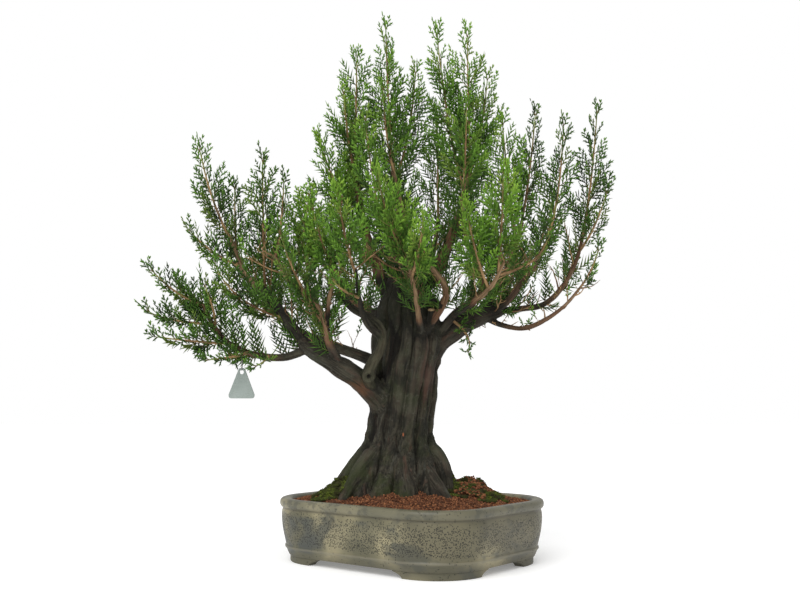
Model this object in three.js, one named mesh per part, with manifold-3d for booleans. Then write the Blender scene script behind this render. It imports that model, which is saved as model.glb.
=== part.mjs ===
// Arborvitae bonsai: an old conifer with a fluted trunk, in a shallow glazed pot.
// Millimetres, +Z up. The tree's front faces -Y and its long low branch reaches to -X.
// Everything is placed about the pot's centre on the table. The last lines move the whole
// group so that its origin is the middle of the underside of its box.

import * as THREE from 'three';
import { mergeVertices } from 'three/addons/utils/BufferGeometryUtils.js';
import Module from 'manifold-3d';

const wasm = await Module();
wasm.setup();

// Driving dimensions

const GAP = 0.3;                  // clearance between pieces that touch

const POT_LENGTH = 324;           // over the lip
const POT_WIDTH = 266;
const POT_CORNER = 80;            // corner radius at the lip
const POT_HEIGHT = 84;
const POT_TURN = -38.5;           // degrees about Z, so that a corner points at the viewer
const POT_CORNER_STEPS = 5;
const FOOT_HEIGHT = 9;
const FOOT_INSET = 14.6;          // outer face of a foot, in from the lip
const FOOT_DEPTH = 15;
const FOOT_TOP_REACH = 32;        // how far a foot runs past its corner arc, under the pot
const FOOT_BASE_REACH = 20;       // and on the table
const DRAIN_RADIUS = 12;
const DRAIN_SPACING = 130;

const SOIL_EDGE_Z = 79;           // soil level at the pot's wall
const SOIL_CROWN = 20;            // rise of the soil towards the trunk

const TRUNK_FLUTE_TWIST = 26;     // degrees that the flutes turn from the soil to the top

const TRUNK_GROW = 2.2;           // a slanting flute moves out this much for each mm of gap
const LIMB_GROW = 1.25;           // and the corner of a limb's section this much
const LIMB_STEP = 37;             // length of one straight stretch of a limb
const STOUT_LIMB = 7.5;           // radius from which a limb has six sides and not four

const STEM_ROOT_RADIUS = 2.4;     // leafy stem, at its foot and near its tip
const STEM_TIP_RADIUS = 1.2;
const STEM_CORNER = 1.25;         // corner of a three-sided stem, as a share of its radius
const WHORL_PITCH = 30;           // distance between whorls of twigs along a stem
const WHORL_HEIGHT = 6;
const WHORL_TWIST = 47;           // degrees that each whorl is turned from the one below
const FROND_LENGTH = 46;
const LEAST_FROND = 22;
const TWIG_LENGTH = 33;
const TWIG_LIFT = 42;             // degrees that a twig leans up its stem
const CLEARANCE = 0.7;            // least room kept between one leafy stem and the next

const TAG_HEIGHT = 39;
const TAG_WIDTH = 34;
const TAG_TOP_WIDTH = 9;
const TAG_THICKNESS = 2;
const TAG_HOLE_RADIUS = 3;
const WIRE_RADIUS = 0.6;

const degrees = THREE.MathUtils.degToRad;
const lerp = THREE.MathUtils.lerp;
const vector = (x, y, z) => new THREE.Vector3(x, y, z);

// Seeded random numbers from 0 to 1

function seededRandom(seed) {
  let state = seed >>> 0;
  return () => {
    state = (state + 0x6d2b79f5) >>> 0;
    let mixed = Math.imul(state ^ (state >>> 15), 1 | state);
    mixed = (mixed + Math.imul(mixed ^ (mixed >>> 7), 61 | mixed)) ^ mixed;
    return ((mixed ^ (mixed >>> 14)) >>> 0) / 4294967296;
  };
}

// Closed bodies

// A geometry from a list of points and a list of triangles.
function meshGeometry(points, triangles) {
  const geometry = new THREE.BufferGeometry();
  geometry.setFromPoints(points);
  geometry.setIndex(triangles);
  return geometry;
}

// A closed body through rings of equally many points, each ring turning to the left round
// the way that the rings follow. Both ends are closed by a fan to the ring's middle.
function loft(rings) {
  const sides = rings[0].length;
  const points = rings.flat();
  const triangles = [];
  for (let k = 0; k + 1 < rings.length; k += 1) {
    for (let i = 0; i < sides; i += 1) {
      const next = (i + 1) % sides;
      const low = k * sides;
      const high = low + sides;
      triangles.push(low + i, low + next, high + next);
      triangles.push(low + i, high + next, high + i);
    }
  }
  const last = (rings.length - 1) * sides;
  const startCentre = points.push(middle(rings[0])) - 1;
  const endCentre = points.push(middle(rings[rings.length - 1])) - 1;
  for (let i = 0; i < sides; i += 1) {
    const next = (i + 1) % sides;
    triangles.push(startCentre, next, i);
    triangles.push(endCentre, last + i, last + next);
  }
  return meshGeometry(points, triangles);
}

function middle(points) {
  const sum = vector(0, 0, 0);
  points.forEach((point) => sum.add(point));
  return sum.divideScalar(points.length);
}

function solidOf(geometry) {
  const bare = geometry.clone();
  bare.deleteAttribute('normal');
  bare.deleteAttribute('uv');
  const merged = mergeVertices(bare, 1e-4);
  const vertProperties = new Float32Array(merged.attributes.position.array);
  const triVerts = new Uint32Array(merged.index.array);
  return new wasm.Manifold(new wasm.Mesh({ numProp: 3, vertProperties, triVerts }));
}

function geometryOf(solid) {
  const mesh = solid.getMesh();
  const geometry = new THREE.BufferGeometry();
  const positions = new Float32Array(mesh.vertProperties);
  geometry.setAttribute('position', new THREE.BufferAttribute(positions, 3));
  geometry.setIndex(new THREE.BufferAttribute(new Uint32Array(mesh.triVerts), 1));
  return geometry;
}

// The largest body of a solid, without the scraps that a cut leaves.
function mainBody(solid) {
  const bodies = solid.decompose();
  bodies.sort((a, b) => b.volume() - a.volume());
  return bodies[0];
}

// Axes across each of a run of directions: side, then up, so that side x up points along
// the direction. Each pair is turned from the one before by no more than the run bends.
function crossAxes(directions) {
  const first = directions[0];
  const reference = Math.abs(first.z) > 0.9 ? vector(0, 1, 0) : vector(0, 0, 1);
  let side = vector(0, 0, 0).crossVectors(reference, first).normalize();
  return directions.map((along, k) => {
    if (k > 0) {
      const turn = new THREE.Quaternion().setFromUnitVectors(directions[k - 1], along);
      side = side.clone().applyQuaternion(turn);
    }
    return { side, up: vector(0, 0, 0).crossVectors(along, side) };
  });
}

// A round bar along a list of points, with a radius for each.
function bar(points, radii, sides) {
  const directions = points.map((point, k) => {
    const before = points[Math.max(k - 1, 0)];
    const after = points[Math.min(k + 1, points.length - 1)];
    return after.clone().sub(before).normalize();
  });
  const axes = crossAxes(directions);
  const rings = points.map((point, k) => {
    const ring = [];
    for (let i = 0; i < sides; i += 1) {
      const angle = (2 * Math.PI * i) / sides;
      ring.push(point.clone()
        .addScaledVector(axes[k].side, radii[k] * Math.cos(angle))
        .addScaledVector(axes[k].up, radii[k] * Math.sin(angle)));
    }
    return ring;
  });
  return loft(rings);
}

// Pot

// The pot's outline, drawn in from the lip by an inset, at a height. It turns to the left.
function potOutline(inset, z) {
  const ring = [];
  const radius = POT_CORNER - inset;
  for (let corner = 0; corner < 4; corner += 1) {
    const centre = cornerCentre(corner);
    for (let i = 0; i <= POT_CORNER_STEPS; i += 1) {
      const angle = degrees(90 * (corner + i / POT_CORNER_STEPS));
      ring.push(potPoint(centre.x + radius * Math.cos(angle), centre.y + radius * Math.sin(angle), z));
    }
  }
  return ring;
}

function cornerCentre(corner) {
  const right = corner === 0 || corner === 3 ? 1 : -1;
  const back = corner < 2 ? 1 : -1;
  return vector(right * (POT_LENGTH / 2 - POT_CORNER), back * (POT_WIDTH / 2 - POT_CORNER), 0);
}

function potPoint(x, y, z) {
  return vector(x, y, z).applyAxisAngle(vector(0, 0, 1), degrees(POT_TURN));
}

// Outer wall from under the pot up to the lip, as inset and height: skirt, raised bead,
// bulging wall, groove and rounded lip. Then the inner wall down to the floor.
const POT_INNER_WALL = [[16.4, 77], [18, 18]];
const POT_PROFILE = [
  [30, FOOT_HEIGHT], [13.2, FOOT_HEIGHT], [9.2, 17.4], [7.4, 19.2], [7.4, 21.8], [8.8, 23.2],
  [5.2, 37], [2.6, 53], [2.6, 67], [3.8, 70.6], [0.2, 74.6], [0, 80], [2.4, 83],
  [9, POT_HEIGHT], [15.2, 82.6], ...POT_INNER_WALL,
];

function potGeometry() {
  const shell = solidOf(loft(POT_PROFILE.map(([inset, z]) => potOutline(inset, z))));
  const feet = [0, 1, 2, 3].map((corner) => solidOf(footGeometry(corner)));
  const drains = [-1, 1].map((way) => solidOf(drainGeometry(way * DRAIN_SPACING / 2)));
  return geometryOf(wasm.Manifold.union([shell, ...feet]).subtract(wasm.Manifold.union(drains)));
}

// A bracket foot: it follows its rounded corner and its ends sweep in to the table.
function footGeometry(corner) {
  const levels = [
    [FOOT_TOP_REACH, FOOT_HEIGHT + 1], [FOOT_TOP_REACH, FOOT_HEIGHT - 1.2],
    [FOOT_BASE_REACH + 2, 4], [FOOT_BASE_REACH, 0],
  ];
  const rings = levels.map(([reach, z]) => {
    const outer = footEdge(corner, FOOT_INSET, reach, z);
    const inner = footEdge(corner, FOOT_INSET + FOOT_DEPTH, reach, z);
    return outer.concat(inner.reverse());
  });
  return loft(rings.reverse());
}

// One edge of a foot: along the straight wall, round the corner and along the next wall.
function footEdge(corner, inset, reach, z) {
  const centre = cornerCentre(corner);
  const radius = POT_CORNER - inset;
  const steps = 4;
  const edge = [];
  for (let i = 0; i <= steps; i += 1) {
    const angle = degrees(90 * (corner + i / steps));
    const point = vector(centre.x + radius * Math.cos(angle), centre.y + radius * Math.sin(angle), 0);
    if (i === 0 || i === steps) {
      const along = i === 0 ? angle - Math.PI / 2 : angle + Math.PI / 2;
      edge.push(point.clone().add(vector(Math.cos(along), Math.sin(along), 0).multiplyScalar(reach)));
      if (i === 0) edge.push(point);
      else edge.splice(edge.length - 1, 0, point);
    } else {
      edge.push(point);
    }
  }
  return edge.map((point) => potPoint(point.x, point.y, z));
}

function drainGeometry(along) {
  const rings = [FOOT_HEIGHT - 2, 20].map((z) => {
    const ring = [];
    for (let i = 0; i < 12; i += 1) {
      const angle = degrees(30 * i);
      ring.push(potPoint(along + DRAIN_RADIUS * Math.cos(angle), DRAIN_RADIUS * Math.sin(angle), z));
    }
    return ring;
  });
  return loft(rings);
}

// Soil

// How high the soil lies above its level at the wall: it rises to the trunk, and more to
// the left, right and back of it where moss grows.
const SOIL_MOUNDS = [
  [-92, -8, 30, 15], [78, 8, 36, 20], [0, 78, 40, 10], [-15, -30, 45, 6],
];

function soilHeight(x, y) {
  const fromTrunk = Math.hypot((x + 10) / 150, y / 130);
  let z = SOIL_EDGE_Z + SOIL_CROWN * 0.65 * Math.max(0, 1 - fromTrunk * fromTrunk);
  SOIL_MOUNDS.forEach(([mx, my, spread, rise]) => {
    z += rise * Math.exp(-((x - mx) ** 2 + (y - my) ** 2) / (spread * spread));
  });
  return z;
}

// The soil fills the pot, clear of its walls. raise lifts its top.
function soilGeometry(raise) {
  const random = seededRandom(11);
  const [[rimInset], [floorInset, floorZ]] = POT_INNER_WALL;
  const wallInset = rimInset + GAP + 0.1;
  const rings = [potOutline(floorInset + GAP + 0.1, floorZ + GAP)];
  const rim = potOutline(wallInset, SOIL_EDGE_Z);
  [1, 0.86, 0.7, 0.52, 0.3].forEach((scale, k) => {
    rings.push(rim.map((point) => {
      const x = point.x * scale;
      const y = point.y * scale;
      const grain = k === 0 ? 0 : 3 * (random() - 0.5);
      const z = k === 0 ? SOIL_EDGE_Z - 1 : soilHeight(x, y) + grain;
      return vector(x, y, z + raise);
    }));
  });
  return loft(rings);
}

// Trunk

// Levels of the trunk: height, left and right edge as seen from the front, front and back.
const TRUNK_LEVELS = [
  [62, -86, 54, -60, 56], [92, -94, 62, -66, 62], [106, -89, 57, -58, 58],
  [122, -80, 50, -49, 50], [140, -69, 38, -42, 43], [158, -60, 27, -38, 38], [176, -55, 25, -36, 35],
  [200, -53, 27, -37, 35], [228, -52, 30, -38, 36], [256, -51, 33, -40, 37], [284, -50, 38, -41, 38],
  [312, -48, 40, -39, 38], [338, -44, 34, -34, 36], [362, -37, 24, -26, 30], [384, -28, 12, -16, 20],
];

// Flutes that run up from the roots: bearing in degrees from +X to the left, and how far
// each stands out at the soil and at the top, as a share of the radius.
const TRUNK_FLUTES = [
  [-172, 0.16, 0.05], [-138, 0.13, 0.10], [-110, 0.08, 0.09], [-80, 0.17, 0.06],
  [-48, 0.08, 0.11], [-12, 0.15, 0.05], [24, 0.10, 0.08], [62, 0.13, 0.06],
  [100, 0.09, 0.09], [142, 0.14, 0.07],
];
const FLUTE_SHOULDER = 0.27;      // half width of a flute's crest, as a share of its pitch
const CREASE = 0.13;              // depth of the crease between flutes at the soil
const CREASE_AT_TOP = 0.09;

// The trunk's outline without its flutes: an ellipse between its four edges.
function trunkEllipse(bearing, [, left, right, front, back]) {
  return 1 / Math.hypot(Math.cos(bearing) / ((right - left) / 2), Math.sin(bearing) / ((back - front) / 2));
}

// One level of the trunk. Each flute gives a crease and the two shoulders of its crest.
function trunkRing(level, grow) {
  const [z, left, right, front, back] = level;
  const soilZ = TRUNK_LEVELS[1][0];
  const topZ = TRUNK_LEVELS[TRUNK_LEVELS.length - 1][0];
  const rise = THREE.MathUtils.clamp((z - soilZ) / (topZ - soilZ), 0, 1);
  const twist = TRUNK_FLUTE_TWIST * rise;
  const ring = [];
  TRUNK_FLUTES.forEach(([bearing, low, high], k) => {
    const before = TRUNK_FLUTES[(k + TRUNK_FLUTES.length - 1) % TRUNK_FLUTES.length][0];
    const pitch = (bearing - before + 360) % 360;
    const crest = 1 + lerp(low, high, Math.sqrt(rise));
    const crease = 1 - lerp(CREASE, CREASE_AT_TOP, rise);
    [[-0.5, crease], [-FLUTE_SHOULDER, crest], [FLUTE_SHOULDER, crest]].forEach(([shift, relief], place) => {
      const width = place === 0 ? pitch : 34;
      const angle = degrees(bearing + shift * width + twist);
      const radius = trunkEllipse(angle, level) * relief + TRUNK_GROW * grow;
      const x = (left + right) / 2 + radius * Math.cos(angle);
      ring.push(vector(x, (front + back) / 2 + radius * Math.sin(angle), z));
    });
  });
  return ring;
}

function trunkGeometry(grow) {
  const rings = TRUNK_LEVELS.map((level) => trunkRing(level, grow));
  if (grow > 0) rings[0].forEach((point) => point.setZ(point.z - grow));
  return loft(rings);
}

// Limbs and surface roots

// Each limb: radius at its start and its end, then the points that it passes through.
// It starts well inside the trunk or the limb that carries it.
const LIMBS = {
  left_main: [17, 9.5, [-16, -12, 190], [-61, -40, 234], [-87, -55, 254], [-112, -65, 269],
    [-129, -69, 279], [-141, -72, 287]],
  left_low: [5.6, 2.8, [-134, -70, 281], [-163, -76, 270], [-193, -81, 271], [-220, -85, 279],
    [-243, -86, 294], [-258, -84, 316], [-270, -82, 338]],
  left_stub: [8.5, 6, [-134, -70, 281], [-158, -70, 312], [-178, -70, 338], [-195, -66, 358]],
  left_out: [5, 2.4, [-174, -70, 332], [-205, -58, 362], [-228, -50, 396], [-242, -46, 434]],
  left_rise: [8, 3, [-88, -55, 253], [-106, -80, 288], [-117, -95, 329], [-139, -102, 352],
    [-157, -106, 368], [-176, -110, 398]],
  left_fork: [5, 2.4, [-109, -84, 296], [-106, -97, 340], [-100, -101, 362], [-86, -106, 385],
    [-74, -112, 412]],
  left_back: [10, 3.4, [-18, 12, 240], [-45, 30, 263], [-71, 40, 276], [-93, 50, 284],
    [-122, 60, 296], [-151, 70, 307], [-182, 78, 330], [-204, 80, 360]],
  left_back_rise: [5.5, 2.6, [-118, 58, 294], [-134, 90, 330], [-148, 118, 365], [-158, 138, 402]],
  s_limb: [8.5, 3.6, [-42, -28, 196], [-52, -45, 225], [-53, -52, 250], [-48, -54, 273],
    [-44, -56, 296], [-50, -60, 315], [-67, -62, 329], [-80, -65, 342], [-95, -72, 372]],
  right_main: [25, 8, [-8, 0, 248], [19, 0, 277], [47, 0, 304], [74, -5, 320], [101, -10, 329],
    [122, -16, 336]],
  right_low: [5, 2.6, [98, -9, 327], [127, -20, 314], [152, -30, 310], [179, -35, 321],
    [205, -40, 340], [225, -40, 363]],
  right_mid: [6.5, 2.8, [104, -11, 329], [126, -30, 343], [139, -36, 358], [154, -40, 378],
    [170, -40, 402], [186, -38, 432]],
  right_far: [6, 2.6, [116, -14, 334], [148, -12, 338], [180, -8, 344], [205, -6, 366],
    [226, -10, 405], [237, -15, 448]],
  right_back: [9, 3, [56, 2, 308], [92, 38, 332], [128, 76, 354], [160, 98, 380], [186, 108, 416]],
  right_rise: [7, 2.8, [92, -8, 325], [112, 8, 356], [130, 18, 388], [144, 18, 424], [156, 14, 462]],
  front_centre: [8, 3, [8, -14, 286], [25, -32, 314], [42, -42, 340], [47, -52, 360],
    [31, -61, 382], [11, -66, 404], [-4, -70, 437], [-15, -70, 476], [-22, -68, 515]],
  front_right: [8, 3, [36, -8, 302], [59, -32, 330], [85, -43, 350], [96, -48, 366],
    [84, -55, 394], [72, -60, 431], [66, -60, 478]],
  front_left: [5.5, 2.5, [40, -41, 338], [18, -56, 350], [-2, -65, 371], [-18, -74, 394],
    [-36, -84, 424]],
  front_far_left: [6, 2.6, [-44, -50, 292], [-58, -82, 314], [-66, -112, 342], [-70, -134, 378]],
  front_middle: [6, 2.6, [14, -22, 300], [10, -62, 322], [4, -98, 352], [-6, -128, 392]],
  front_far_right: [6, 2.6, [58, -30, 329], [84, -66, 344], [104, -94, 362], [118, -108, 390]],
  front_stub: [5.4, 5, [26, -32, 312], [27, -37, 336]],
  back_centre: [10, 3, [-10, 14, 325], [-15, 56, 360], [-24, 102, 388], [-30, 142, 418],
    [-30, 166, 456]],
  back_left: [8, 3, [-26, 14, 312], [-68, 48, 346], [-100, 78, 380], [-114, 98, 420],
    [-118, 108, 462]],
  top_left: [10, 3, [-24, 4, 336], [-42, 10, 385], [-58, 14, 430], [-70, 12, 480], [-78, 8, 534]],
  top_centre: [9, 3, [-10, 4, 366], [-15, 16, 412], [-14, 28, 460], [-20, 34, 512], [-27, 30, 562]],
  top_right: [10, 3, [6, 2, 340], [35, 12, 393], [56, 18, 440], [73, 15, 490], [84, 6, 544]],
  top_back: [7, 3, [4, 20, 348], [22, 58, 392], [35, 92, 436], [42, 118, 486]],
  root_left: [16, 5, [-58, 0, 140], [-88, -8, 110], [-116, -16, 76]],
  root_left_front: [14, 5, [-50, -26, 140], [-78, -50, 104], [-96, -66, 72]],
  root_front: [15, 6, [-12, -34, 138], [-8, -62, 102], [-4, -86, 72]],
  root_right_front: [12, 5, [12, -26, 132], [36, -50, 100], [56, -68, 72]],
  root_right: [17, 7, [22, -6, 144], [52, -12, 124], [82, -20, 84]],
  root_right_back: [13, 5, [20, 24, 132], [46, 44, 102], [68, 60, 72]],
  root_back: [14, 5, [-8, 40, 134], [4, 68, 102], [12, 90, 74]],
  root_left_back: [14, 5, [-48, 24, 136], [-78, 44, 106], [-104, 58, 72]],
};

// A limb as a smooth run of evenly spaced points with a radius for each.
function limbRun(name) {
  const [startRadius, endRadius, ...places] = LIMBS[name];
  const curve = new THREE.CatmullRomCurve3(places.map((place) => vector(...place)), false, 'centripetal');
  const steps = Math.max(3, Math.round(curve.getLength() / LIMB_STEP));
  const points = curve.getSpacedPoints(steps);
  const radii = points.map((point, k) => lerp(startRadius, endRadius, (k / steps) ** 0.85));
  return { points, radii };
}

// The middle of a limb at a share of its length, with its radius there.
function limbAt(name, share) {
  const { points, radii } = limbRun(name);
  const last = points.length - 1;
  const k = Math.min(Math.floor(share * last), last - 1);
  const rest = share * last - k;
  return {
    point: points[k].clone().lerp(points[k + 1], rest),
    radius: lerp(radii[k], radii[k + 1], rest),
  };
}

function limbGeometry(name, grow) {
  const { points, radii } = limbRun(name);
  const last = points.length - 1;
  const ahead = points[last].clone().sub(points[last - 1]).normalize();
  points[last] = points[last].clone().addScaledVector(ahead, grow);
  const grown = radii.map((radius) => radius + LIMB_GROW * grow);
  return bar(points, grown, radii[0] > STOUT_LIMB ? 6 : 4);
}

function woodSolid(grow) {
  const limbs = Object.keys(LIMBS).map((name) => solidOf(limbGeometry(name, grow)));
  return wasm.Manifold.union([solidOf(trunkGeometry(grow)), ...limbs]);
}

// Room kept by every twig: tapered rods, each with an owner

const rods = [];

function addRod(from, to, fromRadius, toRadius, owner, kind) {
  rods.push({ from, to, fromRadius, toRadius, owner, kind });
}

// How near two rods come, and how far along each, from 0 to 1, that happens.
function nearest(a, b) {
  const u = a.to.clone().sub(a.from);
  const v = b.to.clone().sub(b.from);
  const w = a.from.clone().sub(b.from);
  const uu = u.dot(u);
  const uv = u.dot(v);
  const vv = v.dot(v);
  const uw = u.dot(w);
  const vw = v.dot(w);
  const clamp = (value) => Math.min(1, Math.max(0, value));
  const spread = uu * vv - uv * uv;
  let s = spread > 1e-9 ? clamp((uv * vw - vv * uw) / spread) : 0;
  const t = clamp((uv * s + vw) / vv);
  s = clamp((uv * t - uw) / uu);
  const here = a.from.clone().addScaledVector(u, s);
  const there = b.from.clone().addScaledVector(v, t);
  const room = here.distanceTo(there)
    - lerp(a.fromRadius, a.toRadius, s) - lerp(b.fromRadius, b.toRadius, t);
  return { room, s, t };
}

// The least room that a rod would have. Two twigs of one stem may meet at their feet, and
// so may a twig and its own stem.
function roomFor(rod) {
  let least = Infinity;
  const reach = rod.from.distanceTo(rod.to);
  for (const other of rods) {
    const far = other.from.distanceTo(rod.from) - reach - other.from.distanceTo(other.to);
    if (far > 12 + other.fromRadius) continue;
    const { room, s, t } = nearest(rod, other);
    const same = other.owner === rod.owner;
    if (same && other.group === rod.group && rod.group !== undefined) continue;
    if (same && other.kind === 'stem' && s < 0.3) continue;
    if (same && other.kind === 'twig' && s < 0.2 && t < 0.2) continue;
    least = Math.min(least, room);
  }
  return least;
}

function reserveWood() {
  for (const level of TRUNK_LEVELS.slice(0, -1).keys()) {
    const [low, high] = [TRUNK_LEVELS[level], TRUNK_LEVELS[level + 1]];
    const centres = [low, high].map(([z, left, right, front, back]) => (
      vector((left + right) / 2, (front + back) / 2, z)));
    const radii = [low, high].map(([, left, right, front, back]) => (
      Math.max(right - left, back - front) / 2));
    addRod(centres[0], centres[1], radii[0], radii[1], 'trunk', 'wood');
  }
  Object.keys(LIMBS).forEach((name) => {
    const { points, radii } = limbRun(name);
    points.slice(1).forEach((point, k) => {
      addRod(points[k], point, radii[k], radii[k + 1], name, 'wood');
    });
  });
}

// Leafy stems

// Each stem: the limb that carries it, how far along that limb it starts, and its tip.
const SHOOTS = [
  ['left_low', 0.96, -335, -95, 383], ['left_low', 0.80, -347, -62, 332],
  ['left_low', 0.62, -316, -128, 294], ['left_low', 0.52, -256, -138, 264],
  ['left_low', 0.99, -312, -40, 376], ['left_low', 0.90, -262, -120, 362],
  ['left_low', 0.30, -196, -122, 256], ['left_out', 0.98, -283, -60, 555],
  ['left_out', 0.60, -299, -40, 444], ['left_stub', 0.92, -194, -88, 540],
  ['left_out', 0.82, -243, -5, 512], ['left_rise', 0.97, -163, -110, 500],
  ['left_rise', 0.76, -135, -55, 496], ['left_stub', 0.60, -250, -118, 392],
  ['left_fork', 0.62, -125, -140, 458], ['top_left', 0.55, -129, -20, 582],
  ['top_left', 0.88, -92, -50, 636], ['top_left', 0.98, -75, 5, 706],
  ['top_centre', 0.98, -35, -20, 741], ['top_centre', 0.80, 8, 30, 694],
  ['top_right', 0.78, 34, -22, 736], ['top_right', 0.98, 77, -30, 728],
  ['top_right', 0.90, 110, 14, 680], ['right_rise', 0.80, 122, -50, 596],
  ['right_rise', 0.98, 176, 10, 628], ['right_mid', 0.98, 209, -28, 604],
  ['right_far', 0.98, 255, -30, 622], ['right_far', 0.80, 259, -66, 492],
  ['right_low', 0.97, 240, -98, 408], ['right_mid', 0.76, 188, -98, 474],
  ['front_far_right', 0.62, 66, -142, 462], ['front_far_right', 0.90, 114, -146, 506],
  ['front_far_right', 0.99, 170, -138, 432], ['front_far_left', 0.66, -96, -172, 360],
  ['front_right', 0.13, 73, -66, 276], ['front_middle', 0.96, -44, -168, 496],
  ['front_middle', 0.78, 14, -186, 436], ['front_far_left', 0.97, -92, -168, 476],
  ['left_rise', 0.56, -162, -172, 424], ['front_centre', 0.98, -38, -56, 640],
  ['front_right', 0.98, 74, -62, 618], ['front_left', 0.97, -62, -80, 596],
  ['left_back', 0.98, -262, 70, 438], ['left_back', 0.80, -216, 130, 470],
  ['left_back_rise', 0.97, -152, 168, 548], ['back_left', 0.97, -84, 124, 640],
  ['back_centre', 0.98, -22, 190, 572], ['back_centre', 0.72, -92, 214, 462],
  ['top_back', 0.98, 42, 134, 660], ['right_back', 0.97, 212, 122, 524],
  ['right_back', 0.72, 148, 190, 470], ['top_back', 0.70, 118, 136, 594],
  ['right_far', 0.55, 238, 72, 430],
];

// Ways to bend a stem clear: share of the way out at its elbow, share of the rise, and a
// shift to one side.
const ELBOWS = [
  [0.62, 0.34, 0], [0.62, 0.34, 10], [0.62, 0.34, -10], [0.8, 0.3, 0], [0.4, 0.45, 0],
  [0.7, 0.2, 16], [0.7, 0.2, -16], [0.3, 0.6, 14], [0.3, 0.6, -14], [0.9, 0.2, 22],
  [0.9, 0.2, -22], [0.5, 0.5, 26], [0.5, 0.5, -26],
];

function stemCurve(limb, share, tip, elbow) {
  const [out, rise, shift] = elbow;
  const { point } = limbAt(limb, share);
  const way = tip.clone().sub(point);
  const sideways = vector(-way.y, way.x, 0).normalize();
  const bend = vector(point.x + out * way.x, point.y + out * way.y, point.z + rise * way.z);
  return new THREE.QuadraticBezierCurve3(point, bend.addScaledVector(sideways, shift), tip);
}

// The first way that keeps a stem clear of the wood and of the stems before it.
function clearStem(limb, share, tip, owner) {
  let best = null;
  for (const slide of [0, -0.05, 0.02, -0.1, -0.16]) {
    const start = Math.min(share + slide, 1);
    for (const elbow of ELBOWS) {
      const curve = stemCurve(limb, start, tip, elbow);
      const rootRadius = Math.min(STEM_ROOT_RADIUS, 0.8 * limbAt(limb, start).radius);
      const steps = 12;
      const points = curve.getSpacedPoints(steps);
      let least = Infinity;
      points.slice(1).forEach((point, k) => {
        const rod = stemRod(points, k, steps, rootRadius, owner);
        for (const other of rods) {
          const own = other.owner === limb && k < 2;
          const parent = other.kind === 'wood' && k === 0;
          if (own || parent) continue;
          least = Math.min(least, nearest(rod, other).room);
        }
      });
      if (best === null || least > best.least) best = { least, curve, points, rootRadius, limb, start };
      if (least > 1.6) return best;
    }
  }
  return best;
}

function stemRod(points, k, steps, rootRadius, owner) {
  return {
    from: points[k],
    to: points[k + 1],
    fromRadius: STEM_CORNER * lerp(rootRadius, STEM_TIP_RADIUS, k / steps),
    toRadius: STEM_CORNER * lerp(rootRadius, STEM_TIP_RADIUS, (k + 1) / steps),
    owner,
    kind: 'stem',
  };
}

// A stem's mesh: a three-sided core whose rings come in pairs. Between a pair, each of the
// three faces grows a twig or a frond; between pairs the core is plain and twisted.
function shootGeometry(stem, name, random) {
  const length = stem.curve.getLength();
  const bare = limbAt(stem.limb, stem.start).radius + Math.max(8, 0.12 * length);
  const leafy = length - bare - 10;
  const whorls = Math.max(2, Math.round(leafy / WHORL_PITCH) + 1);
  const levels = [{ at: 0, whorl: 0 }];
  for (let w = 0; w < whorls; w += 1) {
    const at = bare + (leafy * w) / (whorls - 1);
    levels.push({ at: at - WHORL_HEIGHT / 2, whorl: w });
    levels.push({ at: at + WHORL_HEIGHT / 2, whorl: w });
  }
  const turn = random() * 360;
  const points = [];
  const triangles = [];
  const axes = crossAxes(levels.map(({ at }) => stem.curve.getTangentAt(at / length)));
  const rings = levels.map(({ at, whorl }, level) => {
    const share = at / length;
    const centre = stem.curve.getPointAt(share);
    const { side, up } = axes[level];
    const radius = STEM_CORNER * lerp(stem.rootRadius, STEM_TIP_RADIUS, share);
    return [0, 1, 2].map((i) => {
      const angle = degrees(turn + whorl * WHORL_TWIST + 120 * i);
      const corner = centre.clone().addScaledVector(side, radius * Math.cos(angle));
      return points.push(corner.addScaledVector(up, radius * Math.sin(angle))) - 1;
    });
  });
  const start = points.push(stem.curve.getPointAt(0)) - 1;
  const tip = points.push(stem.curve.getPointAt(1)) - 1;
  for (let i = 0; i < 3; i += 1) {
    const next = (i + 1) % 3;
    triangles.push(start, rings[0][next], rings[0][i]);
    triangles.push(tip, rings[rings.length - 1][i], rings[rings.length - 1][next]);
    for (let k = 0; k + 1 < rings.length; k += 1) {
      const face = [rings[k][i], rings[k][next], rings[k + 1][next], rings[k + 1][i]];
      if (k % 2 === 1) {
        const whorl = (k - 1) / 2;
        const along = stem.curve.getTangentAt(levels[k].at / length);
        const centre = stem.curve.getPointAt((levels[k].at + WHORL_HEIGHT / 2) / length);
        growTwig({ points, triangles, face, along, centre, whorl, whorls, i, name, random });
      } else {
        triangles.push(face[0], face[1], face[2], face[0], face[2], face[3]);
      }
    }
  }
  return meshGeometry(points, triangles);
}

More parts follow.
